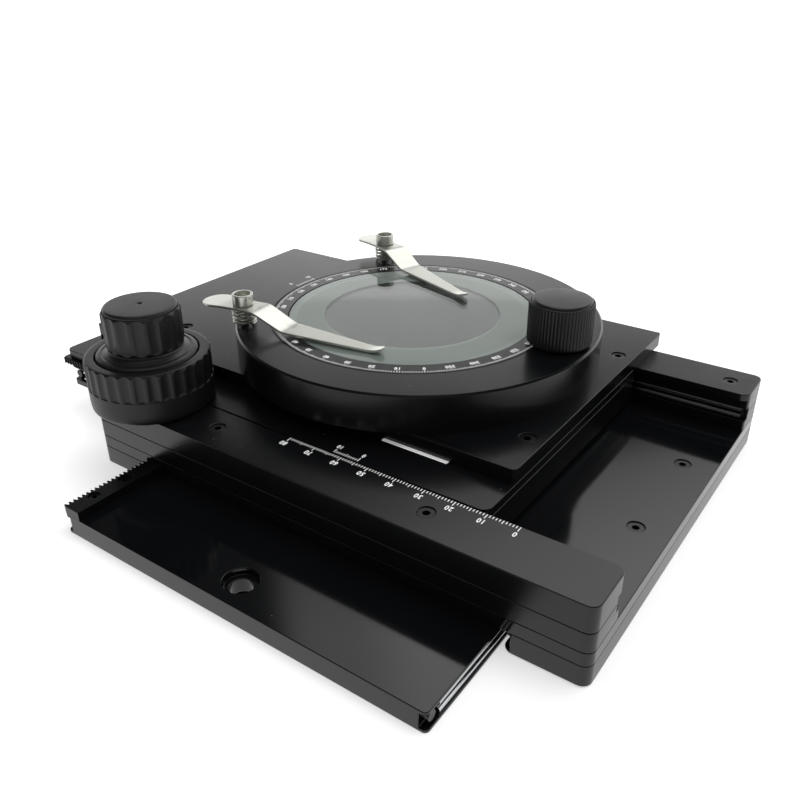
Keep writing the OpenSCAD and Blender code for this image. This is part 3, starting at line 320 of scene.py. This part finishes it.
def quads(nu, nv, wrap_v):
    """Faces of a grid whose point (u, v) has the index v * nu + u. It closes along u."""
    u, v = np.meshgrid(np.arange(nu), np.arange(nv if wrap_v else nv - 1))
    u, v = u.ravel(), v.ravel()
    u1, v1 = (u + 1) % nu, (v + 1) % nv
    return np.stack([v * nu + u, v * nu + u1, v1 * nu + u1, v1 * nu + u], 1)


def rounded(corners, radius, closed=True):
    """A path through corners, each cut back by radius and bridged with four steps of a parabola:
    P(t) = (1-t)^2 A + 2t(1-t) C + t^2 B, where C is the corner. radius is one number or many."""
    c = np.asarray(corners, float)
    radii = np.broadcast_to(radius, len(c))
    path = []
    for i, corner in enumerate(c):
        if not closed and i in (0, len(c) - 1) or radii[i] == 0:
            path.append(corner)
            continue
        ends = []
        for other in (c[i - 1], c[(i + 1) % len(c)]):
            gap = np.linalg.norm(other - corner)
            ends.append(corner + (other - corner) * min(radii[i] / gap, 0.45))
        for t in np.linspace(0, 1, 5):
            path.append((1 - t) ** 2 * ends[0] + 2 * t * (1 - t) * corner + t * t * ends[1])
    return np.array(path)


def subdivided(path, longest):
    """The closed path with points added so that no step along it is longer than that."""
    parts = []
    for a, b in zip(path, np.roll(path, -1, 0)):
        n = max(1, int(math.ceil(np.linalg.norm(b - a) / longest)))
        parts.append(a + (b - a) * np.linspace(0, 1, n, endpoint=False)[:, None])
    return np.concatenate(parts)


def lathe(profile, axis, columns, closed=True, reach=None):
    """Points and faces of a turned shape. Point (u, v) is at angle 2 pi u / columns and at
    profile row v = (r, z), anticlockwise in the r-z plane. closed joins the last row to the
    first, and reach(angle, r, z) may shrink r."""
    angle = np.arange(columns) * TURN / columns
    r, z = np.repeat(profile[:, :1], columns, 1), np.repeat(profile[:, 1:], columns, 1)
    a = np.repeat(angle[None, :], len(profile), 0)
    if reach is not None:
        r = reach(a, r, z)
    points = np.stack([axis[0] + r * np.cos(a), axis[1] + r * np.sin(a), z], -1)
    return points, quads(columns, len(profile), closed)


def grooves(count, knob_r, groove_r, depth, z0, z1, runout, phase=0.0):
    """A reach() that cuts straight round grooves: at angle f from a groove's middle the wall
    is at c cos f - sqrt(groove_r^2 - c^2 sin^2 f), where c = knob_r + groove_r - depth. They
    start at z0 over a short runout and end at z1 in the same way."""
    centre = knob_r + groove_r - depth

    def reach(a, r, z):
        f = (a - phase + math.pi / count) % (TURN / count) - math.pi / count
        side = groove_r ** 2 - (centre * np.sin(f)) ** 2
        wall = np.where(side > 0, centre * np.cos(f) - np.sqrt(np.maximum(side, 0)), knob_r)
        t = np.clip(np.minimum(z - z0, z1 - z) / runout, 0, 1)
        wall = knob_r - (knob_r - wall) * (1 - (1 - t) ** 2)
        return np.where(t > 0, np.minimum(r, wall), r)
    return reach


def tube(path, radius, sides):
    """A round rod along a path: rings of sides points across its direction, and two end caps."""
    along = np.gradient(path, axis=0)
    along /= np.linalg.norm(along, axis=1)[:, None]
    up = np.array([0.0, 0.0, 1.0]) - along * along[:, 2:]
    up /= np.linalg.norm(up, axis=1)[:, None]
    side = np.cross(along, up)
    q = np.arange(sides) * TURN / sides
    points = path[:, None] + radius * (np.cos(q)[None, :, None] * up[:, None]
                                       + np.sin(q)[None, :, None] * side[:, None])
    last = (len(path) - 1) * sides
    ends = [list(range(sides))[::-1], [last + k for k in range(sides)]]
    return points, quads(sides, len(path), False).tolist() + ends


def turning(angle_deg):
    """The matrix that turns rows of x, y anticlockwise: rows @ turning(angle)."""
    a = math.radians(angle_deg)
    return np.array([[math.cos(a), math.sin(a)], [-math.sin(a), math.cos(a)]])


def joined(parts):
    """Several (points, faces) as one."""
    points, faces, start = [], [], 0
    for p, f in parts:
        p = np.asarray(p).reshape(-1, 3)
        points.append(p)
        faces += [[int(k) + start for k in face] for face in f]
        start += len(p)
    return np.concatenate(points), faces


# ---------- carried-over pieces: the CAD shape, merged, with soft edges ----------

DRESS = {
    "base_plate": ("gloss_black", 0.25), "y_rack": ("black_anodised", 0.0),
    "y_rack_screws": ("dark_steel", 0.0), "base_rods": ("rod_steel", 0.0),
    "y_stop_screws": ("dark_steel", 0.0), "main_plate": ("gloss_black", 0.25),
    "left_rail": ("black_anodised", 0.25), "right_rail": ("black_anodised", 0.25),
    "rail_rods": ("rod_steel", 0.0), "rail_screws": ("dark_steel", 0.0),
    "front_lower_bar": ("black_anodised", 0.3), "back_lower_bar": ("black_anodised", 0.3),
    "front_scale_bar": ("black_anodised", 0.3), "back_upper_bar": ("black_anodised", 0.3),
    "bar_rods": ("rod_steel", 0.0), "bar_screws": ("dark_steel", 0.0),
    "shaft_bush": ("bush_bronze", 0.0), "y_cages": ("cage_brass", 0.0),
    "y_balls": ("ball_steel", 0.0), "x_cages": ("cage_brass", 0.0),
    "x_balls": ("ball_steel", 0.0), "slide_plate": ("black_anodised", 0.25),
    "slide_rods": ("rod_steel", 0.0), "x_stop_screws": ("dark_steel", 0.0),
    "x_rack": ("black_anodised", 0.0), "x_rack_screws": ("dark_steel", 0.0),
    "vernier_plate": ("black_anodised", 0.2), "top_plate": ("black_anodised", 0.25),
    "top_plate_screws": ("dark_steel", 0.0), "ring_housing": ("black_anodised", 0.06),
    "ring_screws": ("dark_steel", 0.0), "dial": ("black_anodised", 0.0),
    "dial_retainer": ("black_anodised", 0.15), "retainer_screws": ("dark_steel", 0.0),
    "stage_glass": ("stage_glass", 0.0), "ring_pinion_shaft": ("shaft_steel", 0.0),
    "x_pinion_shaft": ("shaft_steel", 0.0), "y_pinion_shaft": ("shaft_steel", 0.0),
}


def screw_places(node):
    """The middles of a node's screws in plan: the mean of the points of each loose piece."""
    work = bmesh.new()
    work.from_mesh(frame["nodes"][node].data)
    bmesh.ops.remove_doubles(work, verts=work.verts, dist=2e-6)
    left, places = set(work.verts), []
    while left:
        piece, edge = set(), {left.pop()}
        while edge:
            piece |= edge
            edge = {e.other_vert(v) for v in edge for e in v.link_edges} - piece
        left -= piece
        xy = np.array([v.co[:2] for v in piece]) / MM
        places.append((xy.min(0) + xy.max(0)) / 2)
    work.free()
    return places


def narrowed(mesh, places, reach, factor):
    """Draws all points within reach mm of a place in plan towards it by that factor."""
    points = np.empty(len(mesh.vertices) * 3)
    mesh.vertices.foreach_get("co", points)
    points = points.reshape(-1, 3)
    for place in places:
        off = points[:, :2] - place * MM
        near = np.hypot(*off.T) < reach * MM
        points[near, :2] = place * MM + off[near] * factor
    mesh.vertices.foreach_set("co", points.ravel())


def dress(node, look, bevel):
    """A merged copy of a CAD node with its own material and edges rounded by bevel mm."""
    mesh = frame["nodes"][node].data.copy()
    if node in ("bar_screws", "front_scale_bar", "back_upper_bar", "front_lower_bar",
                "back_lower_bar"):
        narrowed(mesh, screw_places("bar_screws"), RECESS_REACH, RECESS_SHARE)
    mesh.name = node + "_look"
    for layer in list(mesh.uv_layers):
        mesh.uv_layers.remove(layer)
    if mesh.has_custom_normals:
        mesh.attributes.remove(mesh.attributes["custom_normal"])
    work = bmesh.new()
    work.from_mesh(mesh)
    bmesh.ops.remove_doubles(work, verts=work.verts, dist=2e-6)
    if bevel:
        bmesh.ops.dissolve_limit(work, angle_limit=math.radians(0.3), verts=work.verts,
                                 edges=work.edges)
        if node == "top_plate":                # its large bore would spoil one big face
            bmesh.ops.triangulate(work, faces=work.faces[:])
    work.to_mesh(mesh)
    work.free()
    made = place_mesh(node + "_look", BODY_OF[node], mesh, look, [node])
    if bevel:
        edge = made.modifiers.new("edges", "BEVEL")
        edge.width = bevel * MM
        edge.segments = 2
        edge.limit_method = "ANGLE"
        edge.angle_limit = math.radians(40)
        edge.use_clamp_overlap = False
        edge.harden_normals = True
    return made


for node, (look, bevel) in DRESS.items():
    dress(node, look, bevel)

# ---------- knobs ----------


def knob(name, body, profile, radii, axis, columns, reach, longest, replaces):
    path = subdivided(rounded(profile, radii), longest)
    points, faces = lathe(path, axis, columns, reach=reach)
    return to_object(name, body, points, faces, "knob_plastic", "knob_plastic", replaces)


def large_knob():
    """Skirted knob: a plain skirt, above it 30 deep flutes that reach the scalloped top edge and
    end below at a ledge, and a recess on top."""
    z0, z1, r = 26.2, 43.8, 20.3
    profile = [[9.4, z0], [r - 0.9, z0], [r - 0.2, z0 + 0.7], [r, z0 + 2.4],
               [r, z0 + 8.1], [r + 0.05, z0 + 8.2], [r, z1 - 0.8], [r - 0.3, z1 - 0.2],
               [r - 0.9, z1], [16.9, z1], [16.9, z1 - 2.0], [3.97, z1 - 2.0],
               [3.97, z0 + 10], [6.42, z0 + 10], [6.42, z0 + 0.3], [9.4, z0 + 0.3]]
    radii = [0.1, 0.5, 0.7, 1.2, 0.1, 0.1, 0.4, 0.3, 0.3, 0.3, 0.3, 0.05, 0.1, 0.1, 0.05, 0.1]
    knob("large_knob_grip", "x_drive", profile, radii, DRIVE, 480,
         grooves(30, r, 3.4, 0.5, z0 + 8.2, z1 + 2.0, 0.3), 0.5, ["large_knob"])


def small_knob():
    """Knob with a round flange, a neck and a grip of 16 narrow ribs between wide valleys."""
    z0, z1, r = 42.1, 58.9, 12.6
    profile = [[2.52, z0], [16.1, z0], [16.4, z0 + 0.3], [16.4, z0 + 1.7], [15.9, z0 + 2.25],
               [14.6, z0 + 2.6], [14.1, z0 + 2.35], [13.6, z0 + 2.6], [12.4, z0 + 3.1],
               [11.8, z0 + 4.2], [12.5, z0 + 5.0], [r, z1 - 0.9], [r - 0.2, z1 - 0.2],
               [r - 0.6, z1], [11.95, z1], [11.95, z1 - 1.2], [2.52, z1 - 1.2]]
    radii = [0.1, 0.15, 0.15, 0.4, 0.4, 0.3, 0.2, 0.3, 0.5, 0.5, 0.6, 0.3, 0.2, 0.1, 0.1, 0.1,
             0.1]
    knob("small_knob_grip", "y_drive", profile, radii, DRIVE, 384,
         grooves(16, r, 4.6, 0.55, z0 + 4.3, z1 + 2.0, 0.9), 0.5, ["small_knob"])


def ring_knob():
    """Knurled knob with 60 fine grooves that also notch its rim."""
    z0, z1, r = 44.2, 58.8, 10.8
    profile = [[3.02, z0], [r - 0.9, z0], [r, z0 + 1.0], [r, z1 - 0.6], [r - 0.2, z1 - 0.15],
               [r - 0.5, z1], [10.15, z1], [10.15, z1 - 1.0], [3.02, z1 - 1.0]]
    radii = [0.05, 0.4, 0.4, 0.3, 0.15, 0.1, 0.05, 0.1, 0.05]
    knob("ring_knob_grip", "ring_drive", profile, radii, RING_KNOB, 60 * 8,
         grooves(60, r, 0.4, 0.3, z0 + 0.4, z1 + 1.0, 0.5), 0.5, ["ring_knob"])


def cap(name, body, axis, r, z0, z1, node, dimple, dome):
    """A disc in a knob's top: a bevelled rim, a top that swells by dome mm as 1 - (p/r)^2, and
    a conical dimple in the middle if one is wanted."""
    p = np.linspace(r - 0.75, dimple, 9)
    swell = z1 + dome * (1 - (p / r) ** 2)
    profile = [[0, z0], [r, z0], [r, z1 - 0.6], [r - 0.25, z1 - 0.2], *np.stack([p, swell], 1)]
    profile += [[dimple * 0.5, swell[-1] - 0.45], [0, swell[-1] - 0.6]] if dimple else []
    radii = [0, 0.1, 0.25, 0.25, 0.2] + [0] * 7 + ([0.15, 0.2, 0] if dimple else [0])
    path = rounded(profile, radii, closed=False)
    points, faces = lathe(path, axis, 144, closed=False)
    to_object(name, body, points, faces, "knob_plastic", "knob_plastic", [node])


large_knob()
small_knob()
ring_knob()
cap("small_knob_disc", "y_drive", DRIVE, 11.75, 57.7, 60.1, "small_knob_cap", 0.9, 0.1)
cap("ring_knob_disc", "ring_drive", RING_KNOB, 9.95, 57.8, 59.5, "ring_knob_cap", 0.0, 0.45)

# ---------- clips ----------


def clip_studs():
    """Two studs: a stem, and a hollow thin-walled head over the leaf."""
    z = LEAF_Z + LEAF_T + 0.15
    profile = [[0, STAGE_Z - 6], [1.6, STAGE_Z - 6], [1.6, z], [3.7, z], [3.7, z + 3.9],
               [2.8, z + 3.9], [2.8, z + 1.0], [0, z + 1.0]]
    path = rounded(profile, [0, 0.3, 0.02, 0.25, 0.3, 0.2, 0.3, 0], closed=False)
    parts = [lathe(path, stud, 96, closed=False) for stud in STUDS]
    to_object("clip_stud_pair", "x_carriage", *joined(parts), "clip_nickel", "clip_nickel",
              ["clip_studs"])


def clip_springs():
    """Two helical springs. The wire's middle rises z(u) = d/2 + h/2 (2u)^1.25 over the lower
    half of its turns and mirrors that over the upper half, so that both ends lie flat."""
    turns, wire, mid_r, rise = 4.5, 0.8, 3.8, 6.05 - 0.8
    u = np.linspace(0, 1, 271)
    height = np.where(u < 0.5, (2 * u) ** 1.25 / 2, 1 - (2 - 2 * u) ** 1.25 / 2)
    a = u * turns * TURN
    helix = np.stack([mid_r * np.cos(a), mid_r * np.sin(a),
                      STAGE_Z + wire / 2 + rise * height], -1)
    parts = [tube(helix + [*stud, 0], wire / 2, 12) for stud in STUDS]
    to_object("clip_spring_pair", "x_carriage", *joined(parts), "clip_nickel", "clip_nickel",
              ["clip_springs"])


def leaf(name, body, node, stud, angle_deg):
    """A bent spring leaf. In plan, rows run from the hole round the stud to the outline. The
    height follows the leaf's side line, averaged over 2.6 mm so that its bends are round."""
    thumb_x, thumb_r, tip_r, hole_r = -11, 5.6, 1.9, 1.9
    tip_x = LEAF_L - tip_r
    line_x = [-18, -7, 8, 19, LEAF_L - 5.5, LEAF_L - 3, LEAF_L + 1]
    line_z = [-0.6, 0, 0, -4.9, -5.7, -5.5, -4.2]
    wide_x = [thumb_x, -5, 0, 5, 8, 19, tip_x]
    wide_y = [thumb_r, 5.0, 4.6, 4.6, 5.0, 4.6, tip_r]
    s = np.linspace(0, 1, 90)
    x = thumb_x + (tip_x - thumb_x) * s
    y = np.mean([np.interp(x + d, wide_x, wide_y) for d in np.linspace(-1.2, 1.2, 7)], 0)
    y[0], y[-1] = thumb_r, tip_r
    thumb = np.radians(np.linspace(90, 270, 40))[1:-1]
    tip = np.radians(np.linspace(-90, 90, 20))[1:-1]
    outline = np.concatenate([
        np.stack([x, -y], -1),
        np.stack([tip_x + tip_r * np.cos(tip), tip_r * np.sin(tip)], -1),
        np.stack([x, y], -1)[::-1],
        np.stack([thumb_x + thumb_r * np.cos(thumb), thumb_r * np.sin(thumb)], -1)])
    step = np.roll(outline, -1, 0) - np.roll(outline, 1, 0)
    normal = np.stack([step[:, 1], -step[:, 0]], -1)
    normal /= np.linalg.norm(normal, axis=1)[:, None]
    bearing = np.arctan2(outline[:, 1], outline[:, 0])
    hole = hole_r * np.stack([np.cos(bearing), np.sin(bearing)], -1)
    rows, edge_r = np.linspace(0, 1, 56), 0.18
    rim = np.radians(np.linspace(-90, 0, 4))
    profile = ([(t, -edge_r * t, 0.0) for t in rows]
               + [(1, edge_r * (math.cos(q) - 1), edge_r * (1 + math.sin(q))) for q in rim[1:]]
               + [(1, edge_r * (math.cos(q) - 1), LEAF_T - edge_r * (1 + math.sin(q)))
                  for q in rim[:0:-1]]
               + [(t, -edge_r * t, LEAF_T) for t in rows[::-1]])
    points, spin = [], turning(angle_deg)
    for t, out, up in profile:
        plan = hole + t * (outline - hole) + out * normal
        z = np.mean([np.interp(plan[:, 0] + d, line_x, line_z)
                     for d in np.linspace(-1.3, 1.3, 9)], 0)
        points.append(np.concatenate([plan @ spin + stud, (LEAF_Z + up + z)[:, None]], 1))
    to_object(name, body, np.array(points), quads(len(outline), len(profile), True),
              "clip_nickel", "clip_nickel", [node])


clip_studs()
clip_springs()
leaf("left_leaf_plate", "left_clip", "left_clip_leaf", STUDS[0], LEAF_DEG[0])
leaf("right_leaf_plate", "right_clip", "right_clip_leaf", STUDS[1], LEAF_DEG[1])

# ---------- engraved scales, filled with white ----------


def bar_mark(x0, y0, x1, y1, width, z):
    """A painted line from one point to another as a thin box that stands MARK_T proud."""
    a, b = np.array([x0, y0]), np.array([x1, y1])
    side = np.array([a[1] - b[1], b[0] - a[0]]) / np.linalg.norm(b - a) * width / 2
    plan = [a + side, a - side, b - side, b + side]
    points = [[*p, z - 0.01] for p in plan] + [[*p, z + MARK_T] for p in plan]
    return points, [[3, 2, 1, 0], [4, 5, 6, 7], [0, 1, 5, 4], [1, 2, 6, 5], [2, 3, 7, 6],
                    [3, 0, 4, 7]]


def number_mark(text, x, y, z, height, angle_deg, slim=0.7):
    """A number as a thin solid, its middle at x, y and its foot towards angle_deg - 90."""
    half = 0.015                               # half the thickness of the number
    curve = bpy.data.curves.new("number", "FONT")
    curve.body, curve.align_x, curve.align_y = text, "CENTER", "CENTER"
    curve.size, curve.extrude = height * SIZE_PER_DIGIT, half
    curve.resolution_u, curve.space_character, curve.offset = 3, 1.15, height * 0.035
    letters = bpy.data.objects.new("number", curve)
    bpy.context.scene.collection.objects.link(letters)
    bpy.context.view_layer.update()
    mesh = letters.evaluated_get(bpy.context.evaluated_depsgraph_get()).to_mesh()
    points = np.empty(len(mesh.vertices) * 3)
    mesh.vertices.foreach_get("co", points)
    points = points.reshape(-1, 3)
    faces = [list(p.vertices) for p in mesh.polygons]
    bpy.data.objects.remove(letters)
    bpy.data.curves.remove(curve)
    points[:, 0] *= slim
    points[:, :2] = points[:, :2] @ turning(angle_deg) + [x, y]
    points[:, 2] += z + MARK_T - half
    return points, faces


def polar(centre, r, angle_deg):
    a = math.radians(angle_deg)
    return centre[0] + r * math.cos(a), centre[1] + r * math.sin(a)


def travel_scale():
    """0 to 80 mm on the bar, from its inner edge, read from the back of the bar."""
    parts = []
    for n in range(81):
        x, reach = SCALE_0_X - n, 2.0 if n % 10 == 0 else 1.5 if n % 5 == 0 else 1.05
        parts.append(bar_mark(x, BAR_EDGE_Y - 0.3, x, BAR_EDGE_Y - 0.3 - reach, 0.26, DECK_Z))
    for n in range(0, 81, 10):
        parts.append(number_mark(str(n), SCALE_0_X - n, -42.8, DECK_Z, 2.0, 180, 0.8))
    to_object("travel_scale_marks", "y_frame", *joined(parts), "white_fill")


def verniers():
    """Ten divisions over nine millimetres beside the bar, and ten of a degree beside the dial."""
    parts = []
    for n in range(11):
        x = VERNIER_0_X - VERNIER_STEP * n
        reach = 1.8 if n % 10 == 0 else 1.4 if n == 5 else 0.95
        parts.append(bar_mark(x, BAR_EDGE_Y + 0.8, x, BAR_EDGE_Y + 0.8 + reach, 0.24, DECK_Z))
        a = DIAL_VERNIER_0_DEG - n
        ends = polar(DIAL, 51.7, a) + polar(DIAL, 53.6 if n % 10 == 0 else 52.9, a)
        parts.append(bar_mark(*ends, 0.24, STAGE_Z))
    for n in (0, 10):
        x, a = VERNIER_0_X - VERNIER_STEP * n, DIAL_VERNIER_0_DEG - n
        parts.append(number_mark(str(n), x, -34.8, DECK_Z, 1.75, 180, 0.82))
        parts.append(number_mark(str(n), *polar(DIAL, 55.8, a), STAGE_Z, 1.75, a - 90, 0.82))
    to_object("vernier_marks", "x_carriage", *joined(parts), "white_fill")


def dial_scale():
    """A degree scale on the dial: 360 lines at its edge and a number at each tenth."""
    parts = []
    for n in range(360):
        a = DIAL_0_DEG - n
        inner = 48.95 if n % 10 == 0 else 49.15 if n % 5 == 0 else 49.4
        parts.append(bar_mark(*polar(DIAL, inner, a), *polar(DIAL, 50.3, a), 0.22, STAGE_Z))
        if n % 10 == 0:
            parts.append(number_mark(str(n), *polar(DIAL, 47.5, a), STAGE_Z, 1.75, a - 90, 0.82))
    to_object("dial_scale_marks", "rotary_dial", *joined(parts), "white_fill")


def foot_strip():
    """A white strip with soft corners in front of the top plate's foot: painted light, a bright
    patch where light shows past the foot.
    """
    x0, x1, y0, y1 = 6.55, 30.35, -24.6, -21.7
    plan = rounded([[x0, y0], [x1, y0], [x1, y1], [x0, y1]], 0.4)
    n = len(plan)
    low, high = np.full((n, 1), DECK_Z - 0.01), np.full((n, 1), DECK_Z + 0.06)
    points = np.concatenate([np.hstack([plan, low]), np.hstack([plan, high])])
    faces = quads(n, 2, False).tolist() + [list(range(n))[::-1], list(range(n, 2 * n))]
    # painted light: the strip stands in for light showing past the top plate's foot, in the
    # glowing white filling
    to_object("foot_strip", "x_carriage", points, faces, "white_fill")


travel_scale()
verniers()
dial_scale()
foot_strip()

# ---------- floor, light and camera ----------


def direction(azimuth_deg, elevation_deg):
    """The unit vector towards a place in the room: azimuth from +Y towards -X."""
    a, e = math.radians(azimuth_deg), math.radians(elevation_deg)
    return Vector((-math.sin(a) * math.cos(e), math.cos(a) * math.cos(e), math.sin(e)))


def lamp(name, azimuth_deg, elevation_deg, distance, width, height, radiance):
    """A soft box that faces the object, with that radiance all over. Mirror reflections don't
    see it: what they see is drawn in room()."""
    data = bpy.data.lights.new(name, "AREA")
    data.shape, data.size, data.size_y = "RECTANGLE", width, height
    data.energy = math.pi * width * height * radiance
    made = bpy.data.objects.new(name, data)
    way = direction(azimuth_deg, elevation_deg)
    made.location = way * distance + Vector((0, 0, 0.02))
    made.rotation_mode = "QUATERNION"
    made.rotation_quaternion = way.to_track_quat("Z", "Y")
    made.visible_camera = made.visible_glossy = False
    bpy.context.scene.collection.objects.link(made)


def floor():
    """A white floor. The camera sees it lifted to white outside the base plate's footprint, with
    the shadow kept beside the object. Under the footprint its colour goes to black: painted shade,
    so that the base plate's holes look dark. Reflections see it evenly bright."""
    mesh = bpy.data.meshes.new("studio_floor")
    far, z = 6, -5e-5                          # metres from the middle, and just under the part
    mesh.from_pydata([(-far, -far, z), (far, -far, z), (far, far, z), (-far, far, z)], [],
                     [(0, 1, 2, 3)])
    made = bpy.data.objects.new("studio_floor", mesh)
    bpy.context.scene.collection.objects.link(made)
    look = bpy.data.materials.new("studio_floor")
    look.use_nodes = True
    net = Net(look.node_tree)
    ray = net.add("LightPath")
    place = net.out(net.add("TexCoord"), "Object")
    parts = net.add("SeparateXYZ", None, {0: place})
    points = np.array([v.co for v in frame["nodes"]["base_plate"].data.vertices])
    outside = net.math("MAXIMUM", *(
        net.math("ABSOLUTE", net.out(parts, axis) - float(a + b) / 2) - float(b - a) / 2
        for axis, a, b in zip("XY", points.min(0), points.max(0))))
    paper = net.noise(place, 0.02, 2.0)
    # painted shade: near is 0 under the base plate's footprint, where the floor's colour goes to
    # black
    near = outside.rise(-0.006, -0.001)
    diffuse = net.add("BsdfDiffuse", None, {
        "Color": net.mix(near * (paper * 0.04 + 0.8), rgba(0, 0, 0), rgba(1, 1, 1))})
    lifted = near * 0.5 + outside.rise(0.01, 0.25) * 0.6
    lift = net.add("Emission", None, {"Strength": net.out(ray, "Is Camera Ray") * lifted})
    seen = net.both("AddShader", 0, diffuse, lift)
    mirrored = net.add("Emission", None, {"Strength": 0.88 + paper * 0.06})
    net.finish(net.both("MixShader", 1, seen, mirrored, {0: net.out(ray, "Is Glossy Ray")}))
    mesh.materials.append(look)


def room():
    """White to the camera. Reflections see a dark room with a white backdrop low behind the
    object, a paler window above its middle, and a soft box high on the right, whose lower edge
    is the plane z = 0.597 (-x) + 0.407 y. Other light from the room is an even soft grey."""
    world = bpy.data.worlds.new("room")
    world.use_nodes = True
    bpy.context.scene.world = world
    net = Net(world.node_tree)
    ray = net.add("LightPath")
    parts = net.add("SeparateXYZ", None, {0: net.out(net.add("TexCoord"), "Generated")})
    x, y, z = (net.out(parts, k) for k in "XYZ")
    left = x * -1.0
    behind = y.rise(-0.1, 0.25)
    backdrop = (1.0 - z.rise(0.352, 0.382)) * behind * 1.38
    slope = left / net.math("MAXIMUM", y, 0.02)
    window = ((1.0 - z.rise(0.425, 0.45)) * behind * 0.9
              * slope.rise(0.43, 0.5) * (1.0 - slope.rise(0.95, 1.03)))
    above = z - left * 0.597 - y * 0.407
    box = (above.rise(-0.015, 0.04) * (net.math("MINIMUM", above, 0.2) * 6.5 + 0.55)
           * (1.0 - slope.rise(0.98, 1.1)) * (1.0 - slope.rise(0.62, 0.85) * 0.4)
           * (1.0 - z.rise(0.84, 0.9)) * behind * slope.rise(-0.3, 0.0))
    top = z.rise(0.88, 0.95) * 0.7
    glossy = net.math("MAXIMUM", net.math("MAXIMUM", backdrop, window),
                      net.math("MAXIMUM", box, top)) + 0.045
    seen = net.math("MAXIMUM", net.out(ray, "Is Camera Ray"),
                    net.out(ray, "Is Transmission Ray"))
    mirror = net.out(ray, "Is Glossy Ray")
    level = mirror * glossy + (1.0 - mirror) * 0.45
    strength = seen + (1.0 - seen) * level
    net.finish(net.add("Background", None, {"Color": rgba(1, 1, 1), "Strength": strength}),
               "World")


def camera():
    """The photograph's view: a rotation from azimuth, elevation and a slight roll."""
    azimuth, elevation, roll = (math.radians(v) for v in (35.4622, 28.2089, -0.43466))
    right = Vector((math.cos(azimuth), math.sin(azimuth), 0))
    back = Vector((math.sin(azimuth) * math.cos(elevation),
                   -math.cos(azimuth) * math.cos(elevation), math.sin(elevation)))
    up = back.cross(right)
    turned = (right * math.cos(roll) + up * math.sin(roll),
              up * math.cos(roll) - right * math.sin(roll), back)
    data = bpy.data.cameras.new("camera")
    data.sensor_width, data.lens = 36.0, 36.915
    data.clip_start, data.clip_end = 0.01, 30.0
    eye = Vector((137.31, -197.99, 156.30)) * MM
    made = bpy.data.objects.new("camera", data)
    made.matrix_world = Matrix.Translation(eye) @ Matrix(turned).transposed().to_4x4()
    bpy.context.scene.collection.objects.link(made)
    bpy.context.scene.camera = made


floor()
room()
camera()
lamp("back_left_box", 62, 10, 2.6, 2.6, 0.9, 2.3)
lamp("high_back_box", 27, 40, 2.2, 0.75, 0.55, 1.8)
lamp("overhead_box", -60, 72, 2.0, 1.2, 1.2, 3.2)
bpy.context.scene.view_settings.view_transform = "Standard"
